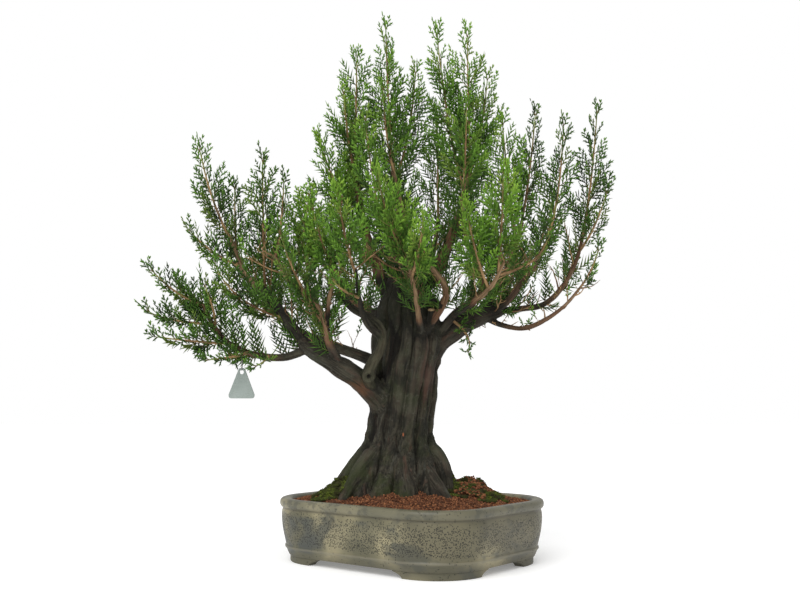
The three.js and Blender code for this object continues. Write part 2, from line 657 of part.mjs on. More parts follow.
// One face of a whorl: a frond if there is room for it, or else a shorter one, a twig, a
// shorter twig, or the plain face.
function growTwig(site) {
  const { points, triangles, face, along, centre, whorl, whorls, i, name, random } = site;
  const share = whorls > 1 ? whorl / (whorls - 1) : 1;
  const fullness = 0.62 + 0.38 * Math.sin(Math.PI * (0.18 + 0.72 * share)) - 0.24 * share ** 3;
  const size = fullness * (0.86 + 0.28 * random());
  const spin = degrees(-50 + 100 * random());
  const base = middle(face.map((index) => points[index]));
  const outward = base.clone().sub(centre).normalize();
  const lift = degrees(TWIG_LIFT + 14 * share + 8 * (random() - 0.5));
  const way = outward.multiplyScalar(Math.cos(lift)).addScaledVector(along, Math.sin(lift)).normalize();
  const wantsFrond = (i + whorl) % 3 === 0;
  const trials = [];
  if (wantsFrond) [1, 0.8, 0.62].forEach((scale) => trials.push([true, scale]));
  [1, 0.75, 0.5].forEach((scale) => trials.push([false, scale]));
  for (const [frond, scale] of trials) {
    const reach = size * scale * (frond ? FROND_LENGTH : TWIG_LENGTH);
    if (frond && reach < LEAST_FROND) continue;
    const plan = frond ? frondPlan(base, way, along, reach, spin) : { parts: [[base, way, reach, 2.2]] };
    const parts = plan.parts.map(([from, direction, distance, radius]) => ({
      from,
      to: from.clone().addScaledVector(direction, distance),
      fromRadius: radius,
      toRadius: 0.4,
      owner: name,
      kind: 'twig',
      group: `${whorl}/${i}`,
    }));
    if (Math.min(...parts.map(roomFor)) < CLEARANCE) continue;
    rods.push(...parts);
    if (frond) frondFaces(points, triangles, face, plan);
    else spikeFaces(points, triangles, face, parts[0].to);
    return;
  }
  triangles.push(face[0], face[1], face[2], face[0], face[2], face[3]);
}

// A point standing on a face, with one triangle to each of its edges.
function spikeFaces(points, triangles, face, apex) {
  const top = points.push(apex) - 1;
  face.forEach((corner, k) => triangles.push(corner, face[(k + 1) % face.length], top));
}

// A frond's rib and its four side twigs, as start, direction, length and radius.
function frondPlan(base, way, along, reach, spin) {
  const flat = along.clone().addScaledVector(way, -along.dot(way)).normalize();
  const across = vector(0, 0, 0).crossVectors(way, flat);
  const sections = [[0.28, spin / 2, 1.6, 0.9], [0.52, spin, 1.3, 0.8]].map(([share, turn, wide, thick]) => {
    const centre = base.clone().addScaledVector(way, share * reach);
    const breadth = flat.clone().applyAxisAngle(way, turn);
    const depth = across.clone().applyAxisAngle(way, turn);
    return { centre, breadth, wide, thick, depth };
  });
  const parts = [[base, way, reach, 2.2]];
  const twigs = [];
  [[0.16, 0, 0.5], [0.4, 1, 0.42]].forEach(([share, section, twigReach]) => {
    [-1, 1].forEach((hand) => {
      const from = base.clone().addScaledVector(way, share * reach);
      const turned = flat.clone().applyAxisAngle(way, section === 0 ? spin / 4 : spin * 0.75);
      const direction = way.clone().multiplyScalar(0.8).addScaledVector(turned, 0.6 * hand).normalize();
      parts.push([from, direction, twigReach * reach, 3.2]);
      twigs.push({ hand, section, apex: from.clone().addScaledVector(direction, twigReach * reach) });
    });
  });
  return { sections, parts, twigs, tip: base.clone().addScaledVector(way, reach) };
}

// The frond's mesh on a face: a four-sided rib in three steps, with a twig on each of its
// two narrow sides in the first two steps.
function frondFaces(points, triangles, face, plan) {
  let ring = face;
  plan.sections.forEach(({ centre, breadth, depth, wide, thick }, section) => {
    const corners = [[-1, -1], [1, -1], [1, 1], [-1, 1]].map(([a, b]) => (
      points.push(centre.clone().addScaledVector(depth, -a * thick).addScaledVector(breadth, b * wide)) - 1));
    for (let k = 0; k < 4; k += 1) {
      const next = (k + 1) % 4;
      const side = [ring[k], ring[next], corners[next], corners[k]];
      const hand = k === 0 ? -1 : 1;
      if (k % 2 === 0) {
        const twig = plan.twigs.find((item) => item.section === section && item.hand === hand);
        spikeFaces(points, triangles, side, twig.apex);
      } else {
        triangles.push(side[0], side[1], side[2], side[0], side[2], side[3]);
      }
    }
    ring = corners;
  });
  spikeFaces(points, triangles, ring, plan.tip);
}

// Moss

// A cushion of moss on the soil, with short tufts standing on it.
function mossGeometry(x, y, reachX, reachY, height, seed) {
  const random = seededRandom(seed);
  const sides = 10;
  const points = [];
  const triangles = [];
  const place = (share, i) => {
    const angle = (2 * Math.PI * i) / sides;
    const wave = 1 + 0.16 * Math.sin(3 * angle + seed) + 0.08 * Math.sin(5 * angle);
    return [x + reachX * share * wave * Math.cos(angle), y + reachY * share * wave * Math.sin(angle)];
  };
  const rings = [[1, -9], [1, 0.4], [0.72, 0.62 * height], [0.38, height]].map(([share, rise]) => {
    const ring = [];
    for (let i = 0; i < sides; i += 1) {
      const [px, py] = place(share, i);
      ring.push(points.push(vector(px, py, soilHeight(px, py) + rise + random())) - 1);
    }
    return ring;
  });
  const under = points.push(vector(x, y, soilHeight(x, y) - 9)) - 1;
  const top = points.push(vector(x, y, soilHeight(x, y) + height)) - 1;
  for (let i = 0; i < sides; i += 1) {
    const next = (i + 1) % sides;
    triangles.push(under, rings[0][next], rings[0][i]);
    triangles.push(top, rings[3][i], rings[3][next]);
    for (let k = 0; k < 3; k += 1) {
      const face = [rings[k][i], rings[k][next], rings[k + 1][next], rings[k + 1][i]];
      if (k > 0) {
        const apex = middle(face.map((index) => points[index]));
        apex.x += 2 * (random() - 0.5);
        apex.y += 2 * (random() - 0.5);
        apex.z += 3.5 + 2.5 * random();
        spikeFaces(points, triangles, face, apex);
      } else {
        triangles.push(face[0], face[1], face[2], face[0], face[2], face[3]);
      }
    }
  }
  return meshGeometry(points, triangles);
}

// Name tag

const TAG_HANG = { limb: 'left_low', share: 0.52 };

// The tag hangs on a loop of wire round the low twig. Its hole is under the twig.
function tagPlaces() {
  const { point, radius } = limbAt(TAG_HANG.limb, TAG_HANG.share);
  const loopRadius = radius + LIMB_GROW * GAP + WIRE_RADIUS + 0.4;
  const hole = vector(point.x, point.y, point.z - 29);
  return { twig: point, loopRadius, hole };
}

function tagGeometry() {
  const half = TAG_WIDTH / 2;
  const halfTop = TAG_TOP_WIDTH / 2;
  const holeBelowTop = 5.4;
  const top = holeBelowTop;
  const bottom = top - TAG_HEIGHT;
  const shape = new THREE.Shape();
  shape.moveTo(-halfTop, top - 2.5);
  shape.quadraticCurveTo(-halfTop + 0.4, top, 0, top);
  shape.quadraticCurveTo(halfTop - 0.4, top, halfTop, top - 2.5);
  shape.lineTo(half, bottom + 5);
  shape.quadraticCurveTo(half + 0.6, bottom, half - 4, bottom);
  shape.lineTo(-half + 4, bottom);
  shape.quadraticCurveTo(-half - 0.6, bottom, -half, bottom + 5);
  shape.closePath();
  const hole = new THREE.Path();
  hole.absarc(0, 0, TAG_HOLE_RADIUS, 0, 2 * Math.PI, false);
  shape.holes.push(hole);
  const options = { depth: TAG_THICKNESS, bevelEnabled: false, curveSegments: 4 };
  const geometry = new THREE.ExtrudeGeometry(shape, options);
  geometry.translate(0, 0, -TAG_THICKNESS / 2);
  return geometry;
}

// A closed loop of wire: over the twig, down both sides of it and through the tag's hole.
function wireGeometry({ twig, loopRadius, hole }) {
  const lowRadius = 3.4;
  const low = hole.z + 0.92 * TAG_HOLE_RADIUS - WIRE_RADIUS - GAP + lowRadius;
  const route = [];
  for (let i = 0; i <= 5; i += 1) {
    const angle = degrees(-8 + (196 * i) / 5);
    route.push([loopRadius * Math.cos(angle), twig.z + loopRadius * Math.sin(angle)]);
  }
  for (let i = 0; i <= 4; i += 1) {
    const angle = degrees(186 + (168 * i) / 4);
    route.push([lowRadius * Math.cos(angle), low + lowRadius * Math.sin(angle)]);
  }
  const sides = 4;
  const points = [];
  const triangles = [];
  route.forEach(([y, z], k) => {
    const before = route[(k + route.length - 1) % route.length];
    const after = route[(k + 1) % route.length];
    const along = vector(0, after[0] - before[0], after[1] - before[1]).normalize();
    const inward = vector(0, -along.z, along.y);
    for (let i = 0; i < sides; i += 1) {
      const angle = (2 * Math.PI * i) / sides;
      const point = vector(twig.x, twig.y + y, z).addScaledVector(inward, WIRE_RADIUS * Math.cos(angle));
      points.push(point.add(vector(WIRE_RADIUS * Math.sin(angle), 0, 0)));
    }
  });
  for (let k = 0; k < route.length; k += 1) {
    const low0 = k * sides;
    const high0 = ((k + 1) % route.length) * sides;
    for (let i = 0; i < sides; i += 1) {
      const next = (i + 1) % sides;
      triangles.push(low0 + i, low0 + next, high0 + next, low0 + i, high0 + next, high0 + i);
    }
  }
  return meshGeometry(points, triangles);
}

// Materials

const material = (color, roughness, metalness = 0) => (
  new THREE.MeshStandardMaterial({ color, roughness, metalness, flatShading: true }));

const glazedClay = material('#8d8a78', 0.45);
const akadamaSoil = material('#6b4430', 0.95);
const mossGreen = material('#4e6e2a', 0.95);
const bark = material('#4b4234', 0.9);
const tagPlastic = material('#b9beb6', 0.45);
const wireMetal = material('#5c5f58', 0.5, 0.6);
const foliage = ['#4d7434', '#557d38', '#46692f'].map((color) => material(color, 0.7));

// Assembly

const bonsai = new THREE.Group();

function addPiece(name, geometry, finish) {
  const piece = new THREE.Mesh(geometry, finish);
  piece.name = name;
  bonsai.add(piece);
  return piece;
}

addPiece('pot', potGeometry(), glazedClay);

const wood = woodSolid(0);
const woodRoom = woodSolid(GAP);
addPiece('wood', geometryOf(mainBody(wood)), bark);

addPiece('soil', geometryOf(mainBody(solidOf(soilGeometry(0)).subtract(woodRoom))), akadamaSoil);

const soilRoom = solidOf(soilGeometry(GAP));
const MOSS = [
  ['moss_left', -98, -34, 26, 20, 7, 3], ['moss_right', 82, -26, 30, 26, 8, 4],
];
MOSS.forEach(([name, x, y, reachX, reachY, height, seed]) => {
  const cushion = solidOf(mossGeometry(x, y, reachX, reachY, height, seed));
  addPiece(name, geometryOf(mainBody(cushion.subtract(soilRoom).subtract(woodRoom))), mossGreen);
});

const hang = tagPlaces();
const tag = addPiece('tag', tagGeometry(), tagPlastic);
tag.position.copy(hang.hole);
tag.rotation.set(Math.PI / 2, 0, degrees(-9), 'ZYX');
addPiece('tag_wire', wireGeometry(hang), wireMetal);

reserveWood();
addRod(hang.hole, vector(hang.hole.x, hang.hole.y, hang.hole.z - 22), 6, 18, 'tag', 'tag');
addRod(hang.hole, hang.twig, 5, 6, 'tag', 'tag');

const stems = SHOOTS.map(([limb, share, x, y, z], k) => {
  const name = `leafy_shoot_${String(k + 1).padStart(2, '0')}`;
  const stem = clearStem(limb, share, vector(x, y, z), name);
  const steps = stem.points.length - 1;
  for (let i = 0; i < steps; i += 1) rods.push(stemRod(stem.points, i, steps, stem.rootRadius, name));
  return { ...stem, name };
});
stems.forEach((stem, k) => {
  const shoot = solidOf(shootGeometry(stem, stem.name, seededRandom(100 + k)));
  addPiece(stem.name, geometryOf(mainBody(shoot.subtract(woodRoom))), foliage[k % foliage.length]);
});

const box = new THREE.Box3().setFromObject(bonsai);
bonsai.position.set(-(box.min.x + box.max.x) / 2, -(box.min.y + box.max.y) / 2, -box.min.z);

export default bonsai;
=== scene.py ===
# %% [markdown]
# # An arborvitae bonsai in a glazed pot
#
# An old arborvitae with a fluted trunk carries some fifty leafy plumes and stands in a
# shallow glazed pot of red-brown granules. The imported model gives every piece its place
# and its size. This script keeps those and makes the surfaces: bark, scale leaves, glaze,
# soil and moss. The first step loads the model. The finished object has to stay inside
# it.

# %% Frame
import math

import bpy
import bmesh
import numpy as np
from mathutils import Matrix, Quaternion, Vector, noise
from mathutils.bvhtree import BVHTree


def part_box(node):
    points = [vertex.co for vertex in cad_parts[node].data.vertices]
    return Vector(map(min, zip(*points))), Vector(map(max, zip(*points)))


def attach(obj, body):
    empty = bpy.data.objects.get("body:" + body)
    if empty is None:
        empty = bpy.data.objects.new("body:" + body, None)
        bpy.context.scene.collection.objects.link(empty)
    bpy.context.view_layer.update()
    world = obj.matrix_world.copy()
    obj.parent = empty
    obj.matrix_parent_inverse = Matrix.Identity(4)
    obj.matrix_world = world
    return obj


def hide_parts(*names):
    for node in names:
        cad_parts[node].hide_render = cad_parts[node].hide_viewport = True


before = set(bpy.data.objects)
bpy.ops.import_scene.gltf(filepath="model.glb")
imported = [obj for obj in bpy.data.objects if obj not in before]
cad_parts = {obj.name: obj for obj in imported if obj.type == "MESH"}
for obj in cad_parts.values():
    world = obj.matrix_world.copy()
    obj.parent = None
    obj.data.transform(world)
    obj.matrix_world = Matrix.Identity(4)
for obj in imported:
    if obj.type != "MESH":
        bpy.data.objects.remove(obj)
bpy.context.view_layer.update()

# %% [markdown]
# The pot stands level, so the middle of its box is the middle of its foot. Sizes below are
# in millimetres from there, as a potter or a gardener would measure them, and one function
# turns such a place into the model's metres.

# %% Places in millimetres
MM = 0.001
pot_low, pot_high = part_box("pot")
POT_MIDDLE = Vector(((pot_low.x + pot_high.x) / 2, (pot_low.y + pot_high.y) / 2, 0.0))


def spot(x, y, z):
    """A place in millimetres from the middle of the pot's foot, in the model's metres."""
    return POT_MIDDLE + Vector((x, y, z)) * MM


print("middle of the pot:", [round(v, 4) for v in POT_MIDDLE])

# %% [markdown]
# ## Camera, light and floor
#
# The camera stands low in front of the pot and looks up a little, so the rim is seen from
# just above and the crown from below. A bonsai is shown against white in even light. One
# white sky lights it from all round, and a broad sun from the upper left gives the trunk
# its roundness. The sky looks white to the camera but lights the tree with less than that,
# or the flutes of the trunk would wash out.

# %% Camera
SENSOR_WIDTH = 36.0
CAMERA_PITCH = 4.87

camera_data = bpy.data.cameras.new("viewpoint")
camera_data.sensor_width = SENSOR_WIDTH
camera_data.lens = 46.71
camera = bpy.data.objects.new("viewpoint", camera_data)
camera.location = spot(-14.85, -1417, 222.5)
camera.rotation_euler = (math.radians(90 + CAMERA_PITCH), 0, 0)
bpy.context.scene.collection.objects.link(camera)
bpy.context.scene.camera = camera

# %% Sky and sun
SKY_LIGHT = 0.72

bpy.context.scene.view_settings.view_transform = "Standard"
world = bpy.data.worlds.new("white_sky")
bpy.context.scene.world = world
world.use_nodes = True
sky_nodes, sky_links = world.node_tree.nodes, world.node_tree.links
background = sky_nodes["Background"]
background.inputs["Color"].default_value = (1, 1, 1, 1)
seen = sky_nodes.new("ShaderNodeLightPath")
strength = sky_nodes.new("ShaderNodeMapRange")
strength.inputs["To Min"].default_value = SKY_LIGHT
strength.inputs["To Max"].default_value = 1.0
sky_links.new(seen.outputs["Is Camera Ray"], strength.inputs["Value"])
sky_links.new(strength.outputs["Result"], background.inputs["Strength"])


def add_sun(name, power, spread, tilt, turn):
    """A broad sun: tilt is down from straight above, turn is round the object."""
    lamp = bpy.data.lights.new(name, "SUN")
    lamp.energy = power
    lamp.angle = math.radians(spread)
    sun = bpy.data.objects.new(name, lamp)
    sun.rotation_euler = (math.radians(tilt), 0, math.radians(turn))
    bpy.context.scene.collection.objects.link(sun)
    return sun


add_sun("upper_sun", 1.9, 50, 42, -28)
print("sky", SKY_LIGHT, "and one sun")

# %% [markdown]
# Before anything is drawn by hand, everything is deselected, because the loaded solids
# come in selected and an operator acts on all that is selected. Each drawn piece is then
# finished the same way: its place goes into its mesh, it gets its name and its finish, it
# rides on the one body, and the solids it stands for are hidden.

# %% Small hands: selecting and finishing
def deselect():
    """Leave edit mode and let go of everything."""
    if bpy.context.object and bpy.context.object.mode != "OBJECT":
        bpy.ops.object.mode_set(mode="OBJECT")
    bpy.ops.object.select_all(action="DESELECT")


def hold(*pieces):
    """Select only these pieces and make the first one active."""
    deselect()
    for piece in pieces:
        piece.select_set(True)
    bpy.context.view_layer.objects.active = pieces[0]
    return pieces[0]


def use_modifier(piece, kind, **settings):
    """Add a modifier, set it and apply it."""
    hold(piece)
    modifier = piece.modifiers.new(kind.lower(), kind)
    for name, value in settings.items():
        setattr(modifier, name, value)
    bpy.ops.object.modifier_apply(modifier=modifier.name)
    return piece


def place_in_mesh(piece):
    """Move a piece's place, turn and size into its mesh."""
    hold(piece)
    bpy.ops.object.transform_apply(location=True, rotation=True, scale=True)


def finish_piece(piece, name, material, stands_for=()):
    """Name a piece, dress it and tie it to the model."""
    piece.name = name
    piece.data.name = name
    piece.data.materials.clear()
    piece.data.materials.append(material)
    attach(piece, "root")
    if stands_for:
        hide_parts(*stands_for)
    print(f"{name}: {len(piece.data.polygons)} faces")
    return piece


def edit(piece):
    """Open a piece for editing with nothing selected in it."""
    hold(piece)
    bpy.ops.object.mode_set(mode="EDIT")
    bpy.ops.mesh.select_all(action="DESELECT")
    return bmesh.from_edit_mesh(piece.data)


def tidy_normals(piece):
    """Merge doubled points, then turn all faces outwards."""
    edit(piece)
    bpy.ops.mesh.select_all(action="SELECT")
    bpy.ops.mesh.remove_doubles(threshold=0.00002)
    bpy.ops.mesh.normals_make_consistent(inside=False)
    bpy.ops.object.mode_set(mode="OBJECT")


deselect()
print("nothing is selected")

# %% [markdown]
# ## Shader arithmetic
#
# A finish is a network of nodes. Written as wires it is hard to read, so a small class
# wraps a socket and lets Python's own signs add the Math nodes: `1 - mask * 0.4` reads as
# it would on paper. Colours are mixed with Mix nodes, because a Math node turns a colour
# grey. Every other node comes from one method, which sets the node up first and then its
# inputs.

# %% Signals and finishes
class Signal:
    """An output socket that can be added, multiplied and compared."""

    def __init__(self, finish, socket):
        self.finish = finish
        self.socket = socket

    def maths(self, operation, first, second=0.0):
        return self.finish.add("ShaderNodeMath", {"operation": operation}, {0: first, 1: second})

    def __add__(self, other):
        return self.maths("ADD", self, other)

    def __sub__(self, other):
        return self.maths("SUBTRACT", self, other)

    def __rsub__(self, other):
        return self.maths("SUBTRACT", other, self)

    def __mul__(self, other):
        return self.maths("MULTIPLY", self, other)

    __radd__ = __add__
    __rmul__ = __mul__

    def ramp(self, low, high):
        """0 below low, 1 above high and smooth between them."""
        return self.finish.add(
            "ShaderNodeMapRange",
            {"interpolation_type": "SMOOTHSTEP"},
            {"Value": self, "From Min": low, "From Max": high},
        )


class Finish:
    """A material with one Principled shader."""

    def __init__(self, name, **uniform):
        self.material = bpy.data.materials.new(name)
        self.material.use_nodes = True
        self.nodes = self.material.node_tree.nodes
        self.links = self.material.node_tree.links
        self.shader = self.nodes["Principled BSDF"]
        for socket, value in uniform.items():
            self.shader.inputs[socket.replace("_", " ")].default_value = value

    def add(self, kind, settings=None, inputs=None, output=0):
        """A node of one kind: its settings, then the values or links of its inputs."""
        node = self.nodes.new(kind)
        for name, value in (settings or {}).items():
            if name == "stops":
                self.set_stops(node.color_ramp, value)
            else:
                setattr(node, name, value)
        for key, value in (inputs or {}).items():
            self.feed(node.inputs[key], value)
        return Signal(self, node.outputs[output])

    def set_stops(self, ramp, stops):
        """Colour stops of a ramp, as (place, colour) pairs."""
        while len(ramp.elements) < len(stops):
            ramp.elements.new(1.0)
        for element, (place, colour) in zip(ramp.elements, stops):
            element.position = place
            element.color = (*colour, 1.0)

    def feed(self, socket, value):
        if isinstance(value, Signal):
            self.links.new(value.socket, socket)
        elif isinstance(value, tuple) and len(value) == 3 and socket.type == "RGBA":
            socket.default_value = (*value, 1.0)
        else:
            socket.default_value = value

    def mix(self, factor, first, second, blend="MIX"):
        """Two colours mixed by a factor."""
        settings = {"data_type": "RGBA", "blend_type": blend}
        return self.add("ShaderNodeMix", settings, {0: factor, 6: first, 7: second}, output=2)

    def noise(self, place, scale, detail=3.0, rough=0.55, warp=0.0):
        inputs = {"Vector": place, "Scale": scale, "Detail": detail, "Roughness": rough, "Distortion": warp}
        return self.add("ShaderNodeTexNoise", None, inputs)

    def cells(self, place, scale, feature="F1", output=0):
        return self.add("ShaderNodeTexVoronoi", {"feature": feature}, {"Vector": place, "Scale": scale}, output)

    def object_place(self):
        return self.add("ShaderNodeTexCoord", output=3)

    def stretch(self, place, scale):
        """The same place with each axis scaled."""
        return self.add("ShaderNodeMapping", None, {"Vector": place, "Scale": scale})

    def attribute(self, name, output=2):
        """A value stored on the mesh. Output 1 is its vector, output 2 its number."""
        return self.add("ShaderNodeAttribute", {"attribute_name": name}, output=output)

    def wear(self, colour=None, roughness=None, height=None, depth=0.001):
        """Feed the shader: its colour, its roughness and a bump from a height."""
        if colour is not None:
            self.feed(self.shader.inputs["Base Color"], colour)
        if roughness is not None:
            self.feed(self.shader.inputs["Roughness"], roughness)
        if height is not None:
            inputs = {"Height": height, "Distance": depth}
            self.feed(self.shader.inputs["Normal"], self.add("ShaderNodeBump", None, inputs))
        return self.material


print("shader arithmetic is ready")

# %% [markdown]
# The floor is a wide matt white sheet. It takes the light of the sky and the sun, so it
# comes out white and keeps a faint soft shadow under the pot. It isn't part of the object,
# so it is marked as stage.

# %% Floor
FLOOR_SIZE = 12.0

floor_finish = Finish("white_paper", Roughness=0.9, Emission_Strength=0.22)
floor_grain = floor_finish.noise(floor_finish.object_place(), 60.0)
floor_colour = floor_finish.mix(floor_grain, (0.90, 0.90, 0.90), (0.93, 0.93, 0.93))
floor_finish.shader.inputs["Emission Color"].default_value = (1, 1, 1, 1)
floor_finish.wear(floor_colour)
bpy.ops.mesh.primitive_plane_add(size=FLOOR_SIZE, location=(0, 0, 0))
floor = bpy.context.object
floor.name = "floor"
floor.data.materials.append(floor_finish.material)
deselect()

# %% [markdown]
# ## The pot
#
# The pot is a rounded rectangle with a soft lip, a gently swelling wall, a raised bead
# near the foot and four bracket feet. A potter presses such a wall in a mould, so its
# section is the same all round. The section is drawn once as a chain of edges. Spinning it
# a quarter turn makes a rounded corner, and dragging it makes a straight wall, four times
# each, until the chain meets its start. A box with bevelled corners would be quicker, but
# then neither the lip nor the bead would keep its width round the corners.

# %% Pot sizes
POT_LENGTH = 324
POT_WIDTH = 266
POT_CORNER = 80
POT_TURN = -38.5
CORNER_STEPS = 18

# The wall's section, outside first: inset from the lip and height.
POT_SECTION = [
    (30, 9), (14.2, 9), (13.2, 9.4), (12.4, 10.6), (10.8, 14), (9.4, 17.2), (8.4, 18.4), (7.5, 19.3),
    (7.2, 20.5), (7.5, 21.7), (8.4, 22.7), (8.6, 23.6), (7.6, 28), (5.6, 36), (3.9, 45), (2.9, 53),
    (2.5, 60), (2.8, 66.5), (3.6, 69.6), (3.7, 71), (2.6, 72.2), (1.2, 73.4), (0.3, 75.2), (0, 77.6),
    (0.3, 80), (1.2, 82), (2.8, 83.3), (5, 84), (8.6, 84), (12, 83.7), (14.6, 82.8), (16, 81),
    (16.4, 78), (16.8, 60), (17.4, 36), (18, 20), (20, 18.4), (26, 18),
]


def draw_chain(points, close=False):
    """A new mesh that is one chain of edges, drawn by extruding a point from place to place."""
    deselect()
    bpy.ops.mesh.primitive_plane_add(size=0.01, location=points[0])
    piece = bpy.context.object
    bpy.ops.object.mode_set(mode="EDIT")
    bpy.ops.mesh.select_all(action="SELECT")
    bpy.ops.mesh.merge(type="CENTER")
    ends = points + [points[0]] if close else points
    for before, after in zip(ends, ends[1:]):
        bpy.ops.mesh.extrude_vertices_move(TRANSFORM_OT_translate={"value": after - before})
    bpy.ops.object.mode_set(mode="OBJECT")
    place_in_mesh(piece)
    return piece


def close_holes(piece):
    """Fill every open ring of edges with a face."""
    edit(piece)
    bpy.ops.mesh.select_non_manifold()
    bpy.ops.mesh.edge_face_add()
    bpy.ops.object.mode_set(mode="OBJECT")


# %% Pot wall
half_length = POT_LENGTH / 2
half_width = POT_WIDTH / 2
straight_x = POT_LENGTH - 2 * POT_CORNER
straight_y = POT_WIDTH - 2 * POT_CORNER

section_start = half_width - POT_CORNER
section = [Vector((half_length - inset, section_start, z)) * MM for inset, z in POT_SECTION]
pot = draw_chain(section)
edit(pot)
bpy.ops.mesh.select_all(action="SELECT")
corner_middles = [
    (half_length - POT_CORNER, half_width - POT_CORNER), (POT_CORNER - half_length, half_width - POT_CORNER),
    (POT_CORNER - half_length, POT_CORNER - half_width), (half_length - POT_CORNER, POT_CORNER - half_width),
]
wall_drags = [(-straight_x, 0, 0), (0, -straight_y, 0), (straight_x, 0, 0), (0, straight_y, 0)]
for (middle_x, middle_y), drag in zip(corner_middles, wall_drags):
    bpy.ops.mesh.spin(
        steps=CORNER_STEPS,
        angle=math.radians(-90),
        center=(middle_x * MM, middle_y * MM, 0),
        axis=(0, 0, 1),
    )
    bpy.ops.mesh.extrude_edges_move(TRANSFORM_OT_translate={"value": Vector(drag) * MM})
bpy.ops.object.mode_set(mode="OBJECT")
tidy_normals(pot)
close_holes(pot)
tidy_normals(pot)
print("pot wall:", len(pot.data.polygons), "faces, box", [round(v, 4) for v in pot.dimensions])

# %% [markdown]
# A bracket foot follows its corner and runs out under both walls, and its ends sweep in to
# the table in a hollow curve. Its plan is drawn as a closed chain, filled and pulled up in
# thin courses. Each course is then shortened at its ends by the curve. The foot is modelled
# once and turned for the other corners by mirroring its points, because the corners of a
# rectangle are mirror images. Feet and wall are joined by a Boolean, so that the glaze runs
# over them as one clay body, and two drain holes are cut through the floor.

# %% Feet
FOOT_INSET = 14.6
FOOT_DEPTH = 15
FOOT_TOP = 10
FOOT_STEPS = 12
FOOT_CURVE = [(0, 5.0), (1.2, 5.4), (2.6, 6.6), (4, 8.6), (5.4, 11.6), (6.6, 15), (7.6, 19), (8.6, 20), (10, 20)]


def foot_edge(inset):
    """One long edge of the foot's plan: along a wall, round the corner, along the next wall."""
    radius = POT_CORNER - inset
    middle_x, middle_y = corner_middles[0]
    reach = FOOT_CURVE[0][1]
    edge = [Vector((middle_x + radius, middle_y - reach, 0)) * MM]
    for step in range(FOOT_STEPS + 1):
        angle = math.radians(90 * step / FOOT_STEPS)
        edge.append(Vector((middle_x + radius * math.cos(angle), middle_y + radius * math.sin(angle), 0)) * MM)
    edge.append(Vector((middle_x - reach, middle_y + radius, 0)) * MM)
    return edge


foot = draw_chain(foot_edge(FOOT_INSET) + foot_edge(FOOT_INSET + FOOT_DEPTH)[::-1], close=True)
edit(foot)
bpy.ops.mesh.select_all(action="SELECT")
bpy.ops.mesh.remove_doubles(threshold=0.00002)
bpy.ops.mesh.edge_face_add()
for (low, _), (high, _) in zip(FOOT_CURVE, FOOT_CURVE[1:]):
    bpy.ops.mesh.extrude_region_move(TRANSFORM_OT_translate={"value": (0, 0, (high - low) * MM)})
bpy.ops.object.mode_set(mode="OBJECT")
curve_heights, curve_reaches = zip(*FOOT_CURVE)
for point in foot.data.vertices:
    longer = np.interp(point.co.z / MM, curve_heights, curve_reaches) - curve_reaches[0]
    middle_x, middle_y = corner_middles[0]
    if point.co.y < (middle_y - 1) * MM:
        point.co.y -= longer * MM
    if point.co.x < (middle_x - 1) * MM:
        point.co.x -= longer * MM
tidy_normals(foot)
use_modifier(foot, "BEVEL", width=0.9 * MM, segments=3, limit_method="ANGLE", angle_limit=math.radians(50))

feet = [foot]
for mirror_x, mirror_y in [(-1, 1), (-1, -1), (1, -1)]:
    copy = foot.copy()
    copy.data = foot.data.copy()
    bpy.context.scene.collection.objects.link(copy)
    copy.data.transform(Matrix.Diagonal((mirror_x, mirror_y, 1, 1)))
    tidy_normals(copy)
    feet.append(copy)
print("feet:", len(feet), "of", len(foot.data.polygons), "faces")

# %% Joining and cutting
DRAIN_RADIUS = 12
DRAIN_SPACING = 130


def combine(piece, other, operation):
    """Join another closed piece to this one or cut it away, and remove the other."""
    use_modifier(piece, "BOOLEAN", operation=operation, solver="EXACT", object=other)
    bpy.data.objects.remove(other)


for each in feet:
    combine(pot, each, "UNION")
for side in (-1, 1):
    deselect()
    place = (side * DRAIN_SPACING / 2 * MM, 0, 14 * MM)
    bpy.ops.mesh.primitive_cylinder_add(vertices=40, radius=DRAIN_RADIUS * MM, depth=14 * MM, location=place)
    combine(pot, bpy.context.object, "DIFFERENCE")
pot.data.transform(Matrix.Translation(POT_MIDDLE) @ Matrix.Rotation(math.radians(POT_TURN), 4, "Z"))
tidy_normals(pot)
hold(pot)
bpy.ops.object.shade_smooth_by_angle(angle=math.radians(38))
print("pot box:", [round(v, 4) for v in pot.dimensions], "solid:", [round(v, 4) for v in pot_high - pot_low])

# %% [markdown]
# The glaze is a thin grey-green coat over beige clay, reduced in the kiln to bluish clouds
# where it lay thick. Iron in the clay burns through as dark pits, most of them on the middle
# of the wall, few on the lip and the bead. So the colour is built up as the kiln did it:
# clay, clouds, stains, then pits, which are also dents. The lip is paler where the glaze ran
# thin. The groove under it and the skirt under the bead are painted darker as shade, and
# the bead is lightened as a painted highlight.

# %% Glaze
PIT_SCALE = 620.0

glaze = Finish("stoneware_glaze", Coat_Roughness=0.25, IOR=1.45)
where = glaze.object_place()
height = glaze.add("ShaderNodeSeparateXYZ", None, {0: where}, output=2)
drift = glaze.noise(where, 11.0, detail=2.0, warp=0.4)
cloud = glaze.noise(glaze.stretch(where, (1.0, 1.0, 1.5)), 16.0, detail=3.0, warp=0.6)
stain = glaze.noise(where, 34.0, detail=4.0)
clay = glaze.mix(drift.ramp(0.35, 0.61), (0.096, 0.090, 0.052), (0.276, 0.244, 0.142))
clay = glaze.mix(cloud.ramp(0.50, 0.66) * 0.85, clay, (0.059, 0.063, 0.050))
clay = glaze.mix((1 - drift).ramp(0.52, 0.66) * cloud.ramp(0.42, 0.6) * 0.55, clay, (0.042, 0.048, 0.045))
clay = glaze.mix(stain.ramp(0.6, 0.74) * 0.4, clay, (0.075, 0.066, 0.036))
smoke = glaze.noise(where, 6.5, detail=1.0)
